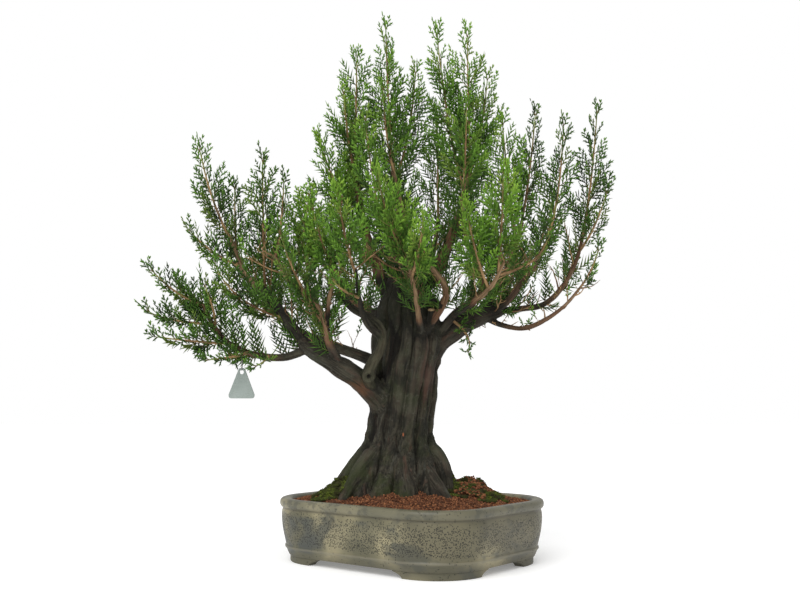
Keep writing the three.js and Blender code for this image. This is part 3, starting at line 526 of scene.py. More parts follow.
clay = glaze.mix(smoke.ramp(0.48, 0.62) * 0.68, clay, (0.060, 0.056, 0.034))
on_wall = height.ramp(0.024, 0.031) * (1 - height.ramp(0.058, 0.0705))
off_wall = 1 - on_wall
lip = height.ramp(0.0722, 0.0735)
clay = glaze.mix(lip * 0.45, clay, (0.136, 0.130, 0.088))
streaks = glaze.noise(where, 70.0, detail=4.0, warp=0.5)
clay = glaze.mix(lip * streaks.ramp(0.50, 0.62) * 0.55, clay, (0.052, 0.054, 0.042))
# The groove under the lip is painted darker, as shade.
groove = height.ramp(0.0685, 0.0712) * (1 - height.ramp(0.0714, 0.0735))
clay = glaze.mix(groove * 0.6, clay, (0.075, 0.068, 0.048))
# The raised bead is lightened as a painted highlight.
bead = height.ramp(0.0185, 0.0200) * (1 - height.ramp(0.0212, 0.0228))
clay = glaze.mix(bead * 0.45, clay, (0.190, 0.176, 0.128))
# The skirt under the bead, down to the feet, is painted darker as shade; it is also rougher.
skirt = 1 - height.ramp(0.010, 0.018)
clay = glaze.mix(skirt * 0.35, clay, (0.085, 0.080, 0.056))
pit_place = glaze.stretch(where, (1.0, 1.0, 0.8))
pit_shape = glaze.cells(pit_place, PIT_SCALE)
pit_draw = glaze.add("ShaderNodeSeparateColor", None, {0: glaze.cells(pit_place, PIT_SCALE, output=1)})
pit_where = glaze.noise(where, 22.0, detail=2.0).ramp(0.24, 0.50)
pit_wanted = on_wall * pit_where + off_wall * 0.14
pits = (1 - pit_shape.ramp(0.30, 0.50)) * (pit_wanted * 0.86 - pit_draw).ramp(0.0, 0.10)
clay = glaze.mix(pits * 0.9, clay, (0.022, 0.022, 0.018))
orange_peel = glaze.noise(where, 900.0, detail=2.0)
glaze.wear(
    clay,
    roughness=0.36 + orange_peel * 0.16 + pits * 0.3 + skirt * 0.15,
    height=orange_peel * 0.12 - pits * 0.9,
    depth=0.0007,
)
finish_piece(pot, "pot_glazed", glaze.material, ["pot"])

# %% [markdown]
# ## The soil
#
# The pot is filled with baked clay granules of 2 to 4 mm. They rise towards the trunk and
# into a mound on each side of it. A fine grid makes the bed: its square edge is drawn in to
# the pot's rounded outline, its height follows the mounds, and cells of noise press it into
# grains that touch, as granules do. Loose ones are strewn on top, because the
# silhouette of a bed of granules is never smooth.

# %% Soil bed
SOIL_EDGE_Z = 79
SOIL_RISE = 13
SOIL_FLOOR_Z = 18.5
SOIL_INSET = 16.9
SOIL_MOUNDS = [(-92, -8, 30, 15), (78, 8, 36, 20), (0, 78, 40, 10), (-15, -34, 46, 11)]
BED_CELLS = (210, 176)
GRAIN_SIZE = 3.0
GRAIN_RELIEF = 1.5

rng = np.random.default_rng(7)


def soil_height(x, y):
    """Height of the soil at places in millimetres, worked out for whole arrays at once."""
    z = SOIL_EDGE_Z + SOIL_RISE * np.maximum(0, 1 - ((x + 10) / 150) ** 2 - (y / 130) ** 2)
    for mound_x, mound_y, spread, rise in SOIL_MOUNDS:
        z = z + rise * np.exp(-((x - mound_x) ** 2 + (y - mound_y) ** 2) / spread**2)
    return z


def points_of(piece):
    """All points of a mesh as an array."""
    flat = np.empty(len(piece.data.vertices) * 3)
    piece.data.vertices.foreach_get("co", flat)
    return flat.reshape(-1, 3)


def set_points(piece, points):
    piece.data.vertices.foreach_set("co", np.asarray(points, dtype=np.float32).ravel())
    piece.data.update()


def outline_reach(bearing, half_x, half_y, corner):
    """Distance from the middle of a rounded rectangle to its edge, for an array of bearings."""
    c, s = np.abs(np.cos(bearing)), np.abs(np.sin(bearing))
    flat_reach = np.minimum(half_x / np.maximum(c, 1e-9), half_y / np.maximum(s, 1e-9))
    middle_x, middle_y = half_x - corner, half_y - corner
    toward = c * middle_x + s * middle_y
    inside = np.maximum(toward**2 - (middle_x**2 + middle_y**2) + corner**2, 0)
    arc_reach = toward + np.sqrt(inside)
    in_corner = (flat_reach * c > middle_x) & (flat_reach * s > middle_y)
    return np.where(in_corner, np.minimum(arc_reach, flat_reach), flat_reach)


deselect()
bpy.ops.mesh.primitive_grid_add(x_subdivisions=BED_CELLS[0], y_subdivisions=BED_CELLS[1], size=2)
bed = bpy.context.object
bed_half = np.array([half_length - SOIL_INSET, half_width - SOIL_INSET])
grid = points_of(bed)[:, :2]
bearing = np.arctan2(grid[:, 1] * bed_half[1], grid[:, 0] * bed_half[0])
rim = outline_reach(bearing, *bed_half, POT_CORNER - SOIL_INSET)
square = np.minimum(
    bed_half[0] / np.maximum(np.abs(np.cos(bearing)), 1e-9),
    bed_half[1] / np.maximum(np.abs(np.sin(bearing)), 1e-9),
)
across = grid * bed_half * (rim / square)[:, None]
turn = math.radians(POT_TURN)
bed_x = across[:, 0] * math.cos(turn) - across[:, 1] * math.sin(turn)
bed_y = across[:, 0] * math.sin(turn) + across[:, 1] * math.cos(turn)
at_rim = np.abs(grid).max(axis=1) > 0.999
grain = np.array([
    noise.voronoi((x / GRAIN_SIZE, y / GRAIN_SIZE, 0.5))[0][0] for x, y in zip(bed_x, bed_y)
])
lumps = np.array([noise.noise((x / 14, y / 14, 3.1)) for x, y in zip(bed_x, bed_y)])
bed_z = soil_height(bed_x, bed_y) + GRAIN_RELIEF * (0.7 - 1.6 * grain) + 1.6 * lumps
bed_z[at_rim] = SOIL_EDGE_Z - 1
set_points(bed, (np.stack([bed_x, bed_y, bed_z], axis=1)) * MM + np.array(POT_MIDDLE))
edit(bed)
bpy.ops.mesh.select_non_manifold()
bpy.ops.mesh.extrude_edges_move(TRANSFORM_OT_translate={"value": (0, 0, (SOIL_FLOOR_Z - SOIL_EDGE_Z + 1) * MM)})
bpy.ops.mesh.edge_face_add()
tidy_normals(bed)
hold(bed)
bpy.ops.object.shade_smooth_by_angle(angle=math.radians(60))
print("soil bed:", len(bed.data.polygons), "faces")

# %% [markdown]
# A granule is an icosahedron with its corners pushed about. It is modelled once, and each
# copy gets its own turn, size and tint. Copies are laid by arithmetic on whole arrays,
# because thousands of duplicated objects would take minutes to make. The same small tool
# lays the moss and the leaves further down.

# %% Copies of a small shape
class Shape:
    """Points and faces of a small mesh that is going to be copied many times."""

    def __init__(self, piece):
        self.points = points_of(piece)
        triangles = []
        for face in piece.data.polygons:
            corners = list(face.vertices)
            triangles += [(corners[0], b, c) for b, c in zip(corners[1:], corners[2:])]
        self.triangles = np.array(triangles)
        bpy.data.objects.remove(piece)


class Heap:
    """Gathers placed copies and turns them into one mesh with a few values on its points."""

    def __init__(self, *names):
        self.names = names
        self.points, self.triangles, self.count = [], [], 0
        self.values = {name: [] for name in names}

    def add(self, points, triangles, **values):
        """One mesh, or many copies of one: points is (copies, points, 3)."""
        points = np.asarray(points).reshape(-1, len(np.asarray(points)[0]), 3) if np.ndim(points) == 3 else points[None]
        copies, size, _ = points.shape
        starts = self.count + size * np.arange(copies)
        self.points.append(points.reshape(-1, 3))
        self.triangles.append((triangles[None] + starts[:, None, None]).reshape(-1, 3))
        for name in self.names:
            value = np.asarray(values[name], dtype=float)
            if value.ndim == 1 and len(value) == copies and copies != size:
                value = value[:, None]
            self.values[name].append(np.broadcast_to(value, (copies, size)).ravel())
        self.count += copies * size

    def piece(self, name):
        """The gathered mesh as a new object."""
        points = np.concatenate(self.points)
        triangles = np.concatenate(self.triangles).astype(np.int32)
        mesh = bpy.data.meshes.new(name)
        mesh.vertices.add(len(points))
        mesh.vertices.foreach_set("co", points.astype(np.float32).ravel())
        mesh.loops.add(triangles.size)
        mesh.loops.foreach_set("vertex_index", triangles.ravel())
        mesh.polygons.add(len(triangles))
        mesh.polygons.foreach_set("loop_start", np.arange(0, triangles.size, 3, dtype=np.int32))
        mesh.polygons.foreach_set("use_smooth", np.ones(len(triangles), dtype=bool))
        for key in self.names:
            stored = mesh.attributes.new(key, "FLOAT", "POINT")
            stored.data.foreach_set("value", np.concatenate(self.values[key]).astype(np.float32))
        mesh.update(calc_edges=True)
        mesh.validate()
        made = bpy.data.objects.new(name, mesh)
        bpy.context.scene.collection.objects.link(made)
        return made


def random_turns(count, generator):
    """Rotation matrices that point every way alike, for an array of copies."""
    q = generator.normal(size=(count, 4))
    w, x, y, z = (q / np.linalg.norm(q, axis=1)[:, None]).T
    rows = [
        [1 - 2 * (y * y + z * z), 2 * (x * y - z * w), 2 * (x * z + y * w)],
        [2 * (x * y + z * w), 1 - 2 * (x * x + z * z), 2 * (y * z - x * w)],
        [2 * (x * z - y * w), 2 * (y * z + x * w), 1 - 2 * (x * x + y * y)],
    ]
    return np.array(rows).transpose(2, 0, 1)


# %% Granules
GRANULES = 4300
MOUND = (84, -30, 34)
MOUND_GRANULES = 1500
MOUND_LIFT = 0.4

deselect()
bpy.ops.mesh.primitive_ico_sphere_add(subdivisions=1, radius=1.0)
pebble = bpy.context.object
bpy.ops.object.mode_set(mode="EDIT")
bpy.ops.mesh.select_all(action="SELECT")
bpy.ops.transform.vertex_random(offset=0.22, seed=5)
bpy.ops.transform.resize(value=(1.0, 0.86, 0.74))
bpy.ops.object.mode_set(mode="OBJECT")
granule = Shape(pebble)


def tree_of(piece, matrix=Matrix()):
    """A search tree over a piece's surface."""
    points = [matrix @ point.co for point in piece.data.vertices]
    return BVHTree.FromPolygons(points, [tuple(face.vertices) for face in piece.data.polygons])


DOWN = Vector((0, 0, -1))
wood_tree = tree_of(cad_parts["wood"])
mound_tree = tree_of(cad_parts["moss_right"])


def inside_wood(place, room=0.0):
    """Whether a place lies in the wood or nearer to it than room."""
    near, normal, _, distance = wood_tree.find_nearest(place)
    return (place - near).dot(normal) < 0 or distance < room


spread = rng.uniform(-1, 1, size=(GRANULES * 2, 2))
bearing = np.arctan2(spread[:, 1] * bed_half[1], spread[:, 0] * bed_half[0])
reach = outline_reach(bearing, bed_half[0] - 1.5, bed_half[1] - 1.5, POT_CORNER - SOIL_INSET)
away = np.hypot(spread[:, 0] * bed_half[0], spread[:, 1] * bed_half[1])
lying = spread[away < reach] * bed_half
strewn_x = lying[:, 0] * math.cos(turn) - lying[:, 1] * math.sin(turn)
strewn_y = lying[:, 0] * math.sin(turn) + lying[:, 1] * math.cos(turn)
strewn = np.stack([strewn_x, strewn_y, soil_height(strewn_x, strewn_y) + 0.5], axis=1)
strewn = strewn * MM + np.array(POT_MIDDLE)
strewn = np.array([place for place in strewn if not inside_wood(Vector(place))])[:GRANULES]


def bare_mound(x, y):
    """Whether the cushion at the right is covered with granules instead of moss here."""
    from_middle = math.hypot(x - MOUND[0], y - MOUND[1]) / MOUND[2]
    return noise.noise((x / 12, y / 12, 6.0)) > 0.60 * from_middle - 0.38


# Some granules lie on that cushion, thickest on its crown.
on_mound = []
for across_x, across_y in rng.uniform(-1, 1, size=(MOUND_GRANULES, 2)):
    x = MOUND[0] + MOUND[2] * across_x
    y = MOUND[1] + MOUND[2] * across_y
    hit = mound_tree.ray_cast(spot(x, y, 180), DOWN)[0]
    if hit is not None and bare_mound(x, y) and not inside_wood(hit):
        on_mound.append(hit + Vector((0, 0, MOUND_LIFT * MM)))
strewn = np.vstack([strewn, on_mound])
sizes = rng.uniform(0.85, 1.8, len(strewn)) * MM
placed = np.einsum("nij,pj->npi", random_turns(len(strewn), rng), granule.points)
granules = Heap("tint")
granules.add(placed * sizes[:, None, None] + strewn[:, None, :], granule.triangles, tint=rng.random(len(strewn)))
loose = granules.piece("granules")
print("loose granules:", len(strewn), "with", len(loose.data.polygons), "faces")

# %% [markdown]
# Baked clay is matt and its colour changes from grain to grain, from orange-brown to a dark
# brown where it is damp. The bed takes its tint from the same cells that pressed it into
# grains, and a loose granule carries its own tint as a value on its points.

# %% Soil colours
CLAY_STOPS = [(0.0, (0.045, 0.019, 0.010)), (0.45, (0.165, 0.062, 0.028)), (1.0, (0.370, 0.160, 0.070))]

bed_clay = Finish("granule_bed", Specular_IOR_Level=0.2)
where = bed_clay.object_place()
cell_tint = bed_clay.add(
    "ShaderNodeTexVoronoi", {"voronoi_dimensions": "3D"}, {"Vector": where, "Scale": 1000 / GRAIN_SIZE}, output=1)
cell_tint = bed_clay.add("ShaderNodeSeparateColor", None, {0: cell_tint})
damp = bed_clay.noise(where, 18.0, detail=2.0)
crumbs = bed_clay.noise(where, 900.0, detail=3.0)
tint = cell_tint * 0.65 + damp * 0.35 + crumbs * 0.3 - 0.15
bed_colour = bed_clay.add("ShaderNodeValToRGB", {"stops": CLAY_STOPS}, {0: tint})
# The gaps between the grains are painted dark as shade, and the bump sinks them in.
gap_shade_and_dent = bed_clay.cells(where, 1000 / GRAIN_SIZE).ramp(0.25, 0.6)
bed_colour = bed_clay.mix(gap_shade_and_dent * 0.6, bed_colour, (0.018, 0.009, 0.006))
bed_clay.wear(bed_colour, 0.85 + crumbs * 0.12, crumbs - gap_shade_and_dent, depth=0.0008)
finish_piece(bed, "soil_bed", bed_clay.material, ["soil"])

loose_clay = Finish("loose_granule", Specular_IOR_Level=0.2)
where = loose_clay.object_place()
crumbs = loose_clay.noise(where, 1100.0, detail=3.0)
tint = loose_clay.attribute("tint") * 0.8 + crumbs * 0.4 - 0.15
loose_colour = loose_clay.add("ShaderNodeValToRGB", {"stops": CLAY_STOPS}, {0: tint})
loose_clay.wear(loose_colour, 0.85 + crumbs * 0.12, crumbs, depth=0.0005)
finish_piece(loose, "soil_granules", loose_clay.material, ["soil"])

# %% [markdown]
# ## The wood
#
# Trunk, limbs and surface roots grew as one body. A gardener would describe each limb by
# the places that it passes through and how thick it is at both ends, and so does the table:
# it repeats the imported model's limbs. A smooth curve through the places gives the limb its
# natural sweep. The same curves tell later which way the bark runs and where the leafy
# stems start.

# %% Limbs
LIMBS = {
    "left_main": [20, 9.5, (-8, 4, 172), (-36, -16, 210), (-63, -38, 238), (-87, -55, 254), (-112, -65, 269),
                  (-129, -69, 279), (-141, -72, 287)],
    "left_low": [5.6, 2.8, (-134, -70, 281), (-163, -76, 270), (-193, -81, 271), (-220, -85, 279),
                 (-243, -86, 294), (-258, -84, 316), (-270, -82, 338)],
    "left_stub": [8.5, 6, (-134, -70, 281), (-158, -70, 312), (-178, -70, 338), (-195, -66, 358)],
    "left_out": [5, 2.4, (-174, -70, 332), (-205, -58, 362), (-228, -50, 396), (-242, -46, 434)],
    "left_rise": [6.4, 2.4, (-88, -55, 253), (-106, -80, 288), (-117, -95, 329), (-139, -102, 352),
                  (-157, -106, 368), (-176, -110, 398)],
    "left_fork": [4, 2, (-109, -84, 296), (-106, -97, 340), (-100, -101, 362), (-86, -106, 385),
                  (-74, -112, 412)],
    "left_back": [10, 3.4, (-18, 12, 240), (-45, 30, 263), (-71, 40, 276), (-93, 50, 284),
                  (-122, 60, 296), (-151, 70, 307), (-182, 78, 330), (-204, 80, 360)],
    "left_back_rise": [5.5, 2.6, (-118, 58, 294), (-134, 90, 330), (-148, 118, 365), (-158, 138, 402)],
    "s_limb": [8.8, 3.8, (-50, -34, 226), (-58, -50, 244), (-52, -55, 262), (-42, -58, 280),
               (-38, -60, 298), (-44, -61, 313), (-59, -62, 324), (-77, -66, 334), (-98, -74, 358)],
    "right_main": [25, 8, (-8, 0, 248), (19, 0, 277), (47, 0, 304), (74, -5, 320), (101, -10, 329),
                   (122, -16, 336)],
    "right_low": [4.4, 2.2, (98, -9, 327), (127, -20, 314), (152, -30, 310), (179, -35, 321),
                  (205, -40, 340), (225, -40, 363)],
    "right_mid": [5.6, 2.3, (104, -11, 329), (126, -30, 343), (139, -36, 358), (154, -40, 378),
                  (170, -40, 402), (186, -38, 432)],
    "right_far": [5.2, 2.2, (116, -14, 334), (148, -12, 338), (180, -8, 344), (205, -6, 366),
                  (226, -10, 405), (237, -15, 448)],
    "right_back": [9, 3, (56, 2, 308), (92, 38, 332), (128, 76, 354), (160, 98, 380), (186, 108, 416)],
    "right_rise": [6, 2.3, (92, -8, 325), (112, 8, 356), (130, 18, 388), (144, 18, 424), (156, 14, 462)],
    "front_centre": [6, 2.2, (8, -14, 286), (25, -32, 314), (42, -42, 340), (47, -52, 360),
                     (31, -61, 382), (11, -66, 404), (-4, -70, 437), (-15, -70, 476), (-22, -68, 515)],
    "front_right": [6.2, 2.2, (36, -8, 302), (59, -32, 330), (85, -43, 350), (96, -48, 366),
                    (84, -55, 394), (72, -60, 431), (66, -60, 478)],
    "front_left": [4.4, 2, (40, -41, 338), (18, -56, 350), (-2, -65, 371), (-18, -74, 394),
                   (-36, -84, 424)],
    "front_far_left": [5, 2.2, (-39, -58, 296), (-58, -82, 314), (-66, -112, 342), (-70, -134, 378)],
    "front_middle": [5, 2.2, (14, -22, 300), (10, -62, 322), (4, -98, 352), (-6, -128, 392)],
    "front_far_right": [5, 2.2, (58, -30, 329), (84, -66, 344), (104, -94, 362), (118, -108, 390)],
    "front_stub": [5.4, 5, (26, -32, 312), (27, -37, 336)],
    "back_centre": [10, 3, (-10, 14, 325), (-15, 56, 360), (-24, 102, 388), (-30, 142, 418),
                    (-30, 166, 456)],
    "back_left": [8, 3, (-26, 14, 312), (-68, 48, 346), (-100, 78, 380), (-114, 98, 420),
                  (-118, 108, 462)],
    "top_left": [10, 3, (-24, 4, 336), (-42, 10, 385), (-58, 14, 430), (-70, 12, 480), (-78, 8, 534)],
    "top_centre": [9, 3, (-10, 4, 366), (-15, 16, 412), (-14, 28, 460), (-20, 34, 512), (-27, 30, 562)],
    "top_right": [10, 3, (6, 2, 340), (35, 12, 393), (56, 18, 440), (73, 15, 490), (84, 6, 544)],
    "top_back": [7, 3, (4, 20, 348), (22, 58, 392), (35, 92, 436), (42, 118, 486)],
    "root_left": [16, 5, (-58, 0, 140), (-88, -8, 110), (-116, -16, 76)],
    "root_left_front": [14, 5, (-50, -26, 140), (-78, -50, 104), (-96, -66, 72)],
    "root_front": [15, 6, (-12, -34, 138), (-8, -62, 102), (-4, -86, 72)],
    "root_right_front": [12, 5, (12, -26, 132), (36, -50, 100), (56, -68, 72)],
    "root_right": [17, 10, (20, -6, 146), (35, -13, 131), (42, -18, 114), (46, -21, 88)],
    "root_right_back": [13, 5, (20, 24, 132), (46, 44, 102), (68, 60, 72)],
    "root_back": [14, 5, (-8, 40, 134), (4, 68, 102), (12, 90, 74)],
    "root_left_back": [14, 5, (-48, 24, 136), (-78, 44, 106), (-104, 58, 72)],
}
OLD_LIMBS = {"s_limb", "left_back", "left_main", "right_main", "front_far_left"}
# Limbs at the crown's edges whose bark is painted older and darker, as shade.
LIMBS_PAINTED_DARK = {"right_low", "right_mid", "right_far", "left_low", "left_stub"}
PAINTED_DARK_AGE = 0.40
MOSSY = 2.0
LIMB_STEP = 37
TAPER = 0.85


def spaced(points, step=None, count=None):
    """Evenly spaced places on the smooth curve through points, at a step or by a count."""
    points = np.array(points, dtype=float)
    knots = np.vstack([2 * points[0] - points[1], points, 2 * points[-1] - points[-2]])
    fine = []
    for a, b, c, d in zip(knots, knots[1:], knots[2:], knots[3:]):
        ta, tb, tc = (np.linalg.norm(q - p) ** 0.5 for p, q in ((a, b), (b, c), (c, d)))
        start = ((b - a) / ta - (c - a) / (ta + tb) + (c - b) / tb) * tb
        end = ((c - b) / tb - (d - b) / (tb + tc) + (d - c) / tc) * tb
        t = np.linspace(0, 1, 40)[:, None]
        fine.append((2 * b - 2 * c + start + end) * t**3 + (3 * c - 3 * b - 2 * start - end) * t**2 + start * t + b)
    fine = np.vstack(fine)
    along = np.concatenate([[0], np.cumsum(np.linalg.norm(np.diff(fine, axis=0), axis=1))])
    count = count or max(3, round(along[-1] / step))
    marks = np.linspace(0, along[-1], count + 1)
    return np.stack([np.interp(marks, along, fine[:, k]) for k in range(3)], axis=1)


def limb_at(name, share):
    """Middle and radius of a limb at a share of its length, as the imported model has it."""
    start_radius, end_radius, *places = LIMBS[name]
    run = spaced(places, step=LIMB_STEP)
    last = len(run) - 1
    at = min(share, 1.0) * last
    point = np.array([np.interp(at, range(last + 1), run[:, k]) for k in range(3)])
    girths = start_radius + (end_radius - start_radius) * (np.arange(last + 1) / last) ** TAPER
    return point, np.interp(at, range(last + 1), girths)


def frames(run):
    """Along, side and up directions at each place of a run, with no needless twist."""
    along = np.gradient(run, axis=0)
    along /= np.linalg.norm(along, axis=1)[:, None]
    side = np.cross((0, 0, 1) if abs(along[0][2]) < 0.9 else (0, 1, 0), along[0])
    sides = []
    for direction in along:
        side = side - direction * np.dot(side, direction)
        side /= np.linalg.norm(side)
        sides.append(side)
    sides = np.array(sides)
    return along, sides, np.cross(along, sides)


print("limbs and roots:", len(LIMBS))

# %% [markdown]
# The trunk is described by levels, each with its left, right, front and back edge, and by
# ten flutes that run up from the roots and turn a little on the way. Limbs are tubes that
# follow their curves. Joining forty tubes one by one would leave hard rings where they
# meet, so they are only laid into each other, and a voxel remesh then wraps one skin round
# all of them, as bark grows over a joint. Smoothing rounds the crotches.

# %% Trunk and tubes
TRUNK_LEVELS = [
    (62, -86, 54, -60, 56), (92, -94, 55, -66, 62), (106, -89, 51, -58, 58), (122, -80, 46, -49, 50),
    (140, -69, 38, -42, 43), (158, -60, 27, -38, 38), (176, -55, 25, -36, 35), (200, -53, 27, -37, 35),
    (228, -52, 30, -38, 36), (256, -51, 33, -40, 37), (284, -50, 38, -41, 38), (312, -48, 40, -39, 38),
    (338, -44, 34, -34, 36), (362, -37, 24, -26, 30), (384, -28, 12, -16, 20),
]
TRUNK_FLUTES = [
    (-172, 0.16, 0.05), (-138, 0.13, 0.10), (-110, 0.08, 0.09), (-80, 0.17, 0.06), (-48, 0.08, 0.11),
    (-12, 0.15, 0.05), (24, 0.10, 0.08), (62, 0.13, 0.06), (100, 0.09, 0.09), (142, 0.14, 0.07),
]
FLUTE_TWIST = 26
CREASE = (0.15, 0.10)
TRUNK_SIDES = 120
TRUNK_RINGS = 64
SOIL_LEVEL = TRUNK_LEVELS[1][0]
TRUNK_TOP = TRUNK_LEVELS[-1][0]


def trunk_level(z):
    """Middle and half sizes of the trunk at a height."""
    heights, left, right, front, back = np.array(TRUNK_LEVELS, dtype=float).T
    left, right, front, back = (np.interp(z, heights, edge) for edge in (left, right, front, back))
    return (left + right) / 2, (front + back) / 2, (right - left) / 2, (back - front) / 2


def trunk_twist(z):
    return math.radians(FLUTE_TWIST) * np.clip((z - SOIL_LEVEL) / (TRUNK_TOP - SOIL_LEVEL), 0, 1)


def trunk_ring(z):
    """One ring of the trunk, with its flutes."""
    rise = np.clip((z - SOIL_LEVEL) / (TRUNK_TOP - SOIL_LEVEL), 0, 1)
    middle_x, middle_y, half_x, half_y = trunk_level(z)
    bearings, relief = [], []
    for k, (at, low, high) in enumerate(TRUNK_FLUTES):
        before = TRUNK_FLUTES[k - 1][0]
        pitch = (at - before) % 360
        crest = 1 + low + (high - low) * math.sqrt(rise)
        crease = 1 - CREASE[0] - (CREASE[1] - CREASE[0]) * rise
        bearings += [at - pitch / 2, at - 9, at + 9]
        relief += [crease, crest, crest]
    angles = np.linspace(-180, 180, TRUNK_SIDES, endpoint=False)
    relief = np.interp(angles, bearings, relief, period=360)
    angles = np.radians(angles) + trunk_twist(z)
    radius = relief / np.hypot(np.cos(angles) / half_x, np.sin(angles) / half_y)
    x, y = middle_x + radius * np.cos(angles), middle_y + radius * np.sin(angles)
    return np.stack([x, y, np.full(TRUNK_SIDES, z)], axis=1)


def skin(rings):
    """Points and triangles of a closed tube through rings of equally many points."""
    count, sides = len(rings), len(rings[0])
    points = np.vstack([*rings, rings[0].mean(axis=0)[None], rings[-1].mean(axis=0)[None]])
    here = np.arange(sides)
    after = (here + 1) % sides
    triangles = []
    for k in range(count - 1):
        low, high = k * sides, (k + 1) * sides
        triangles.append(np.stack([low + here, low + after, high + after], axis=1))
        triangles.append(np.stack([low + here, high + after, high + here], axis=1))
    foot, top, last = count * sides, count * sides + 1, (count - 1) * sides
    triangles.append(np.stack([np.full(sides, foot), after, here], axis=1))
    triangles.append(np.stack([np.full(sides, top), last + here, last + after], axis=1))
    return points, np.vstack(triangles)


def tube(run, radii, sides):
    """A closed round tube along a run of places."""
    _, side, up = frames(run)
    angles = np.linspace(0, 2 * math.pi, sides, endpoint=False)
    circle = np.cos(angles)[None, :, None] * side[:, None] + np.sin(angles)[None, :, None] * up[:, None]
    return skin(list(run[:, None] + circle * np.asarray(radii)[:, None, None]))


core = Heap()
for ring_mesh in [skin([trunk_ring(z) for z in np.linspace(TRUNK_LEVELS[0][0], TRUNK_TOP, TRUNK_RINGS)])]:
    core.add(*ring_mesh)

# Each limb's curve is kept: place, direction, side, up, way along it, radius and age.
OLD_REACH = 60
grain_lines = []
for number, (name, (start_radius, end_radius, *places)) in enumerate(LIMBS.items()):
    run = spaced(places, step=3.0)
    share = np.linspace(0, 1, len(run))
    radii = start_radius + (end_radius - start_radius) * share**TAPER
    radii = radii * np.array([1 + 0.10 * noise.noise(Vector(p) / 26 + Vector((number, 0, 0))) for p in run])
    core.add(*tube(run, radii, 14 if start_radius > 7.5 else 10))
    along, side, up = frames(run)
    travelled = share * np.linalg.norm(np.diff(run, axis=0), axis=1).sum()
    way = travelled + 1000 * (number + 1)
    always_old = name.startswith("root") or name in OLD_LIMBS
    is_old = np.ones(len(run)) if always_old else np.clip(1 - travelled / OLD_REACH, 0, 1)
    # Limbs at the crown's edges get older, darker bark than their girth gives, as painted shade.
    if name in LIMBS_PAINTED_DARK:
        is_old = np.maximum(is_old, PAINTED_DARK_AGE)
    if name == "s_limb":
        is_old = MOSSY * is_old
    grain_lines.append(np.column_stack([run, along, side, up, way, radii, is_old]))

wood = core.piece("wood_skin")
set_points(wood, points_of(wood) * MM + np.array(POT_MIDDLE))
print("tubes laid into each other:", len(wood.data.polygons), "faces")

# %% Wrapping the wood in one skin
VOXEL = 1.35

use_modifier(wood, "REMESH", mode="VOXEL", voxel_size=VOXEL * MM, adaptivity=0.0)
use_modifier(wood, "SMOOTH", factor=0.6, iterations=7)
print("wood skin:", len(wood.data.polygons), "faces")

# %% [markdown]
# Bark runs along the wood, so its relief has to follow each limb. For every point of the
# skin the nearest limb is looked up, and the point's place is written in that limb's own
# directions: side, up and along. Noise read at that place, squeezed along the limb, makes
# long ropes, strips that peel and fine fibres. Where two limbs meet the directions change,
# so the relief fades there.

# %% Bark relief
trunk_z = np.arange(64.0, TRUNK_TOP, 3.0)
trunk_x, trunk_y, trunk_half_x, trunk_half_y = trunk_level(trunk_z)
twist = trunk_twist(trunk_z)
flat = np.zeros(len(trunk_z))
trunk_line = np.column_stack([
    trunk_x, trunk_y, trunk_z, flat, flat, flat + 1, np.cos(twist), np.sin(twist), flat,
    -np.sin(twist), np.cos(twist), flat, trunk_z, 0.94 * np.sqrt(trunk_half_x * trunk_half_y), flat,
])
lines = [trunk_line, *grain_lines]
stations = np.vstack(lines)
line_starts = np.cumsum([0] + [len(line) for line in lines[:-1]])

skin_points = (points_of(wood) - np.array(POT_MIDDLE)) / MM
grain_place = np.empty((len(skin_points), 3))
girth = np.empty(len(skin_points))
calm = np.empty(len(skin_points))
of_trunk = np.empty(len(skin_points))
on_trunk = np.empty(len(skin_points), dtype=bool)
for start in range(0, len(skin_points), 8000):
    chunk = skin_points[start:start + 8000]
    square = (chunk**2).sum(1)[:, None] + (stations[:, :3] ** 2).sum(1)[None] - 2 * chunk @ stations[:, :3].T
    gap = np.sqrt(np.maximum(square, 0)) - stations[None, :, 13]
    nearest = gap.argmin(axis=1)
    per_line = np.sort(np.minimum.reduceat(gap, line_starts, axis=1), axis=1)
    station = stations[nearest]
    offset = chunk - station[:, :3]
    rows = slice(start, start + len(chunk))
    grain_place[rows, 0] = (offset * station[:, 6:9]).sum(1)
    grain_place[rows, 1] = (offset * station[:, 9:12]).sum(1)
    grain_place[rows, 2] = station[:, 12] + (offset * station[:, 3:6]).sum(1)
    girth[rows] = station[:, 13]
    calm[rows] = np.clip((per_line[:, 1] - per_line[:, 0]) / 5.0, 0.15, 1)
    on_trunk[rows] = nearest < len(trunk_line)
    of_trunk[rows] = np.where(nearest < len(trunk_line), 1, station[:, 14])


def grain_noise(across, along, seed, octaves=1):
    """Noise drawn out along the grain: its size across the grain and along it."""
    places = grain_place / np.array([across, across, along]) + seed
    if octaves == 1:
        return np.array([noise.noise(place) for place in places])
    return np.array([noise.fractal(place, 1.0, 2.0, octaves) for place in places])


stout = np.clip(girth / 26, 0.10, 1)
ropes = 1 - 2 * np.abs(grain_noise(15, 150, 3.3))
strips = grain_noise(4.6, 70, 9.1, 2)
flakes = np.abs(grain_noise(3.4, 16, 5.7))
knobs = grain_noise(26, 30, 1.9)
relief = stout * calm * (2.7 * ropes + 1.7 * strips + 1.3 * flakes + 2.4 * knobs)
relief += (1 - stout) * calm * (0.45 * strips + 0.3 * flakes)

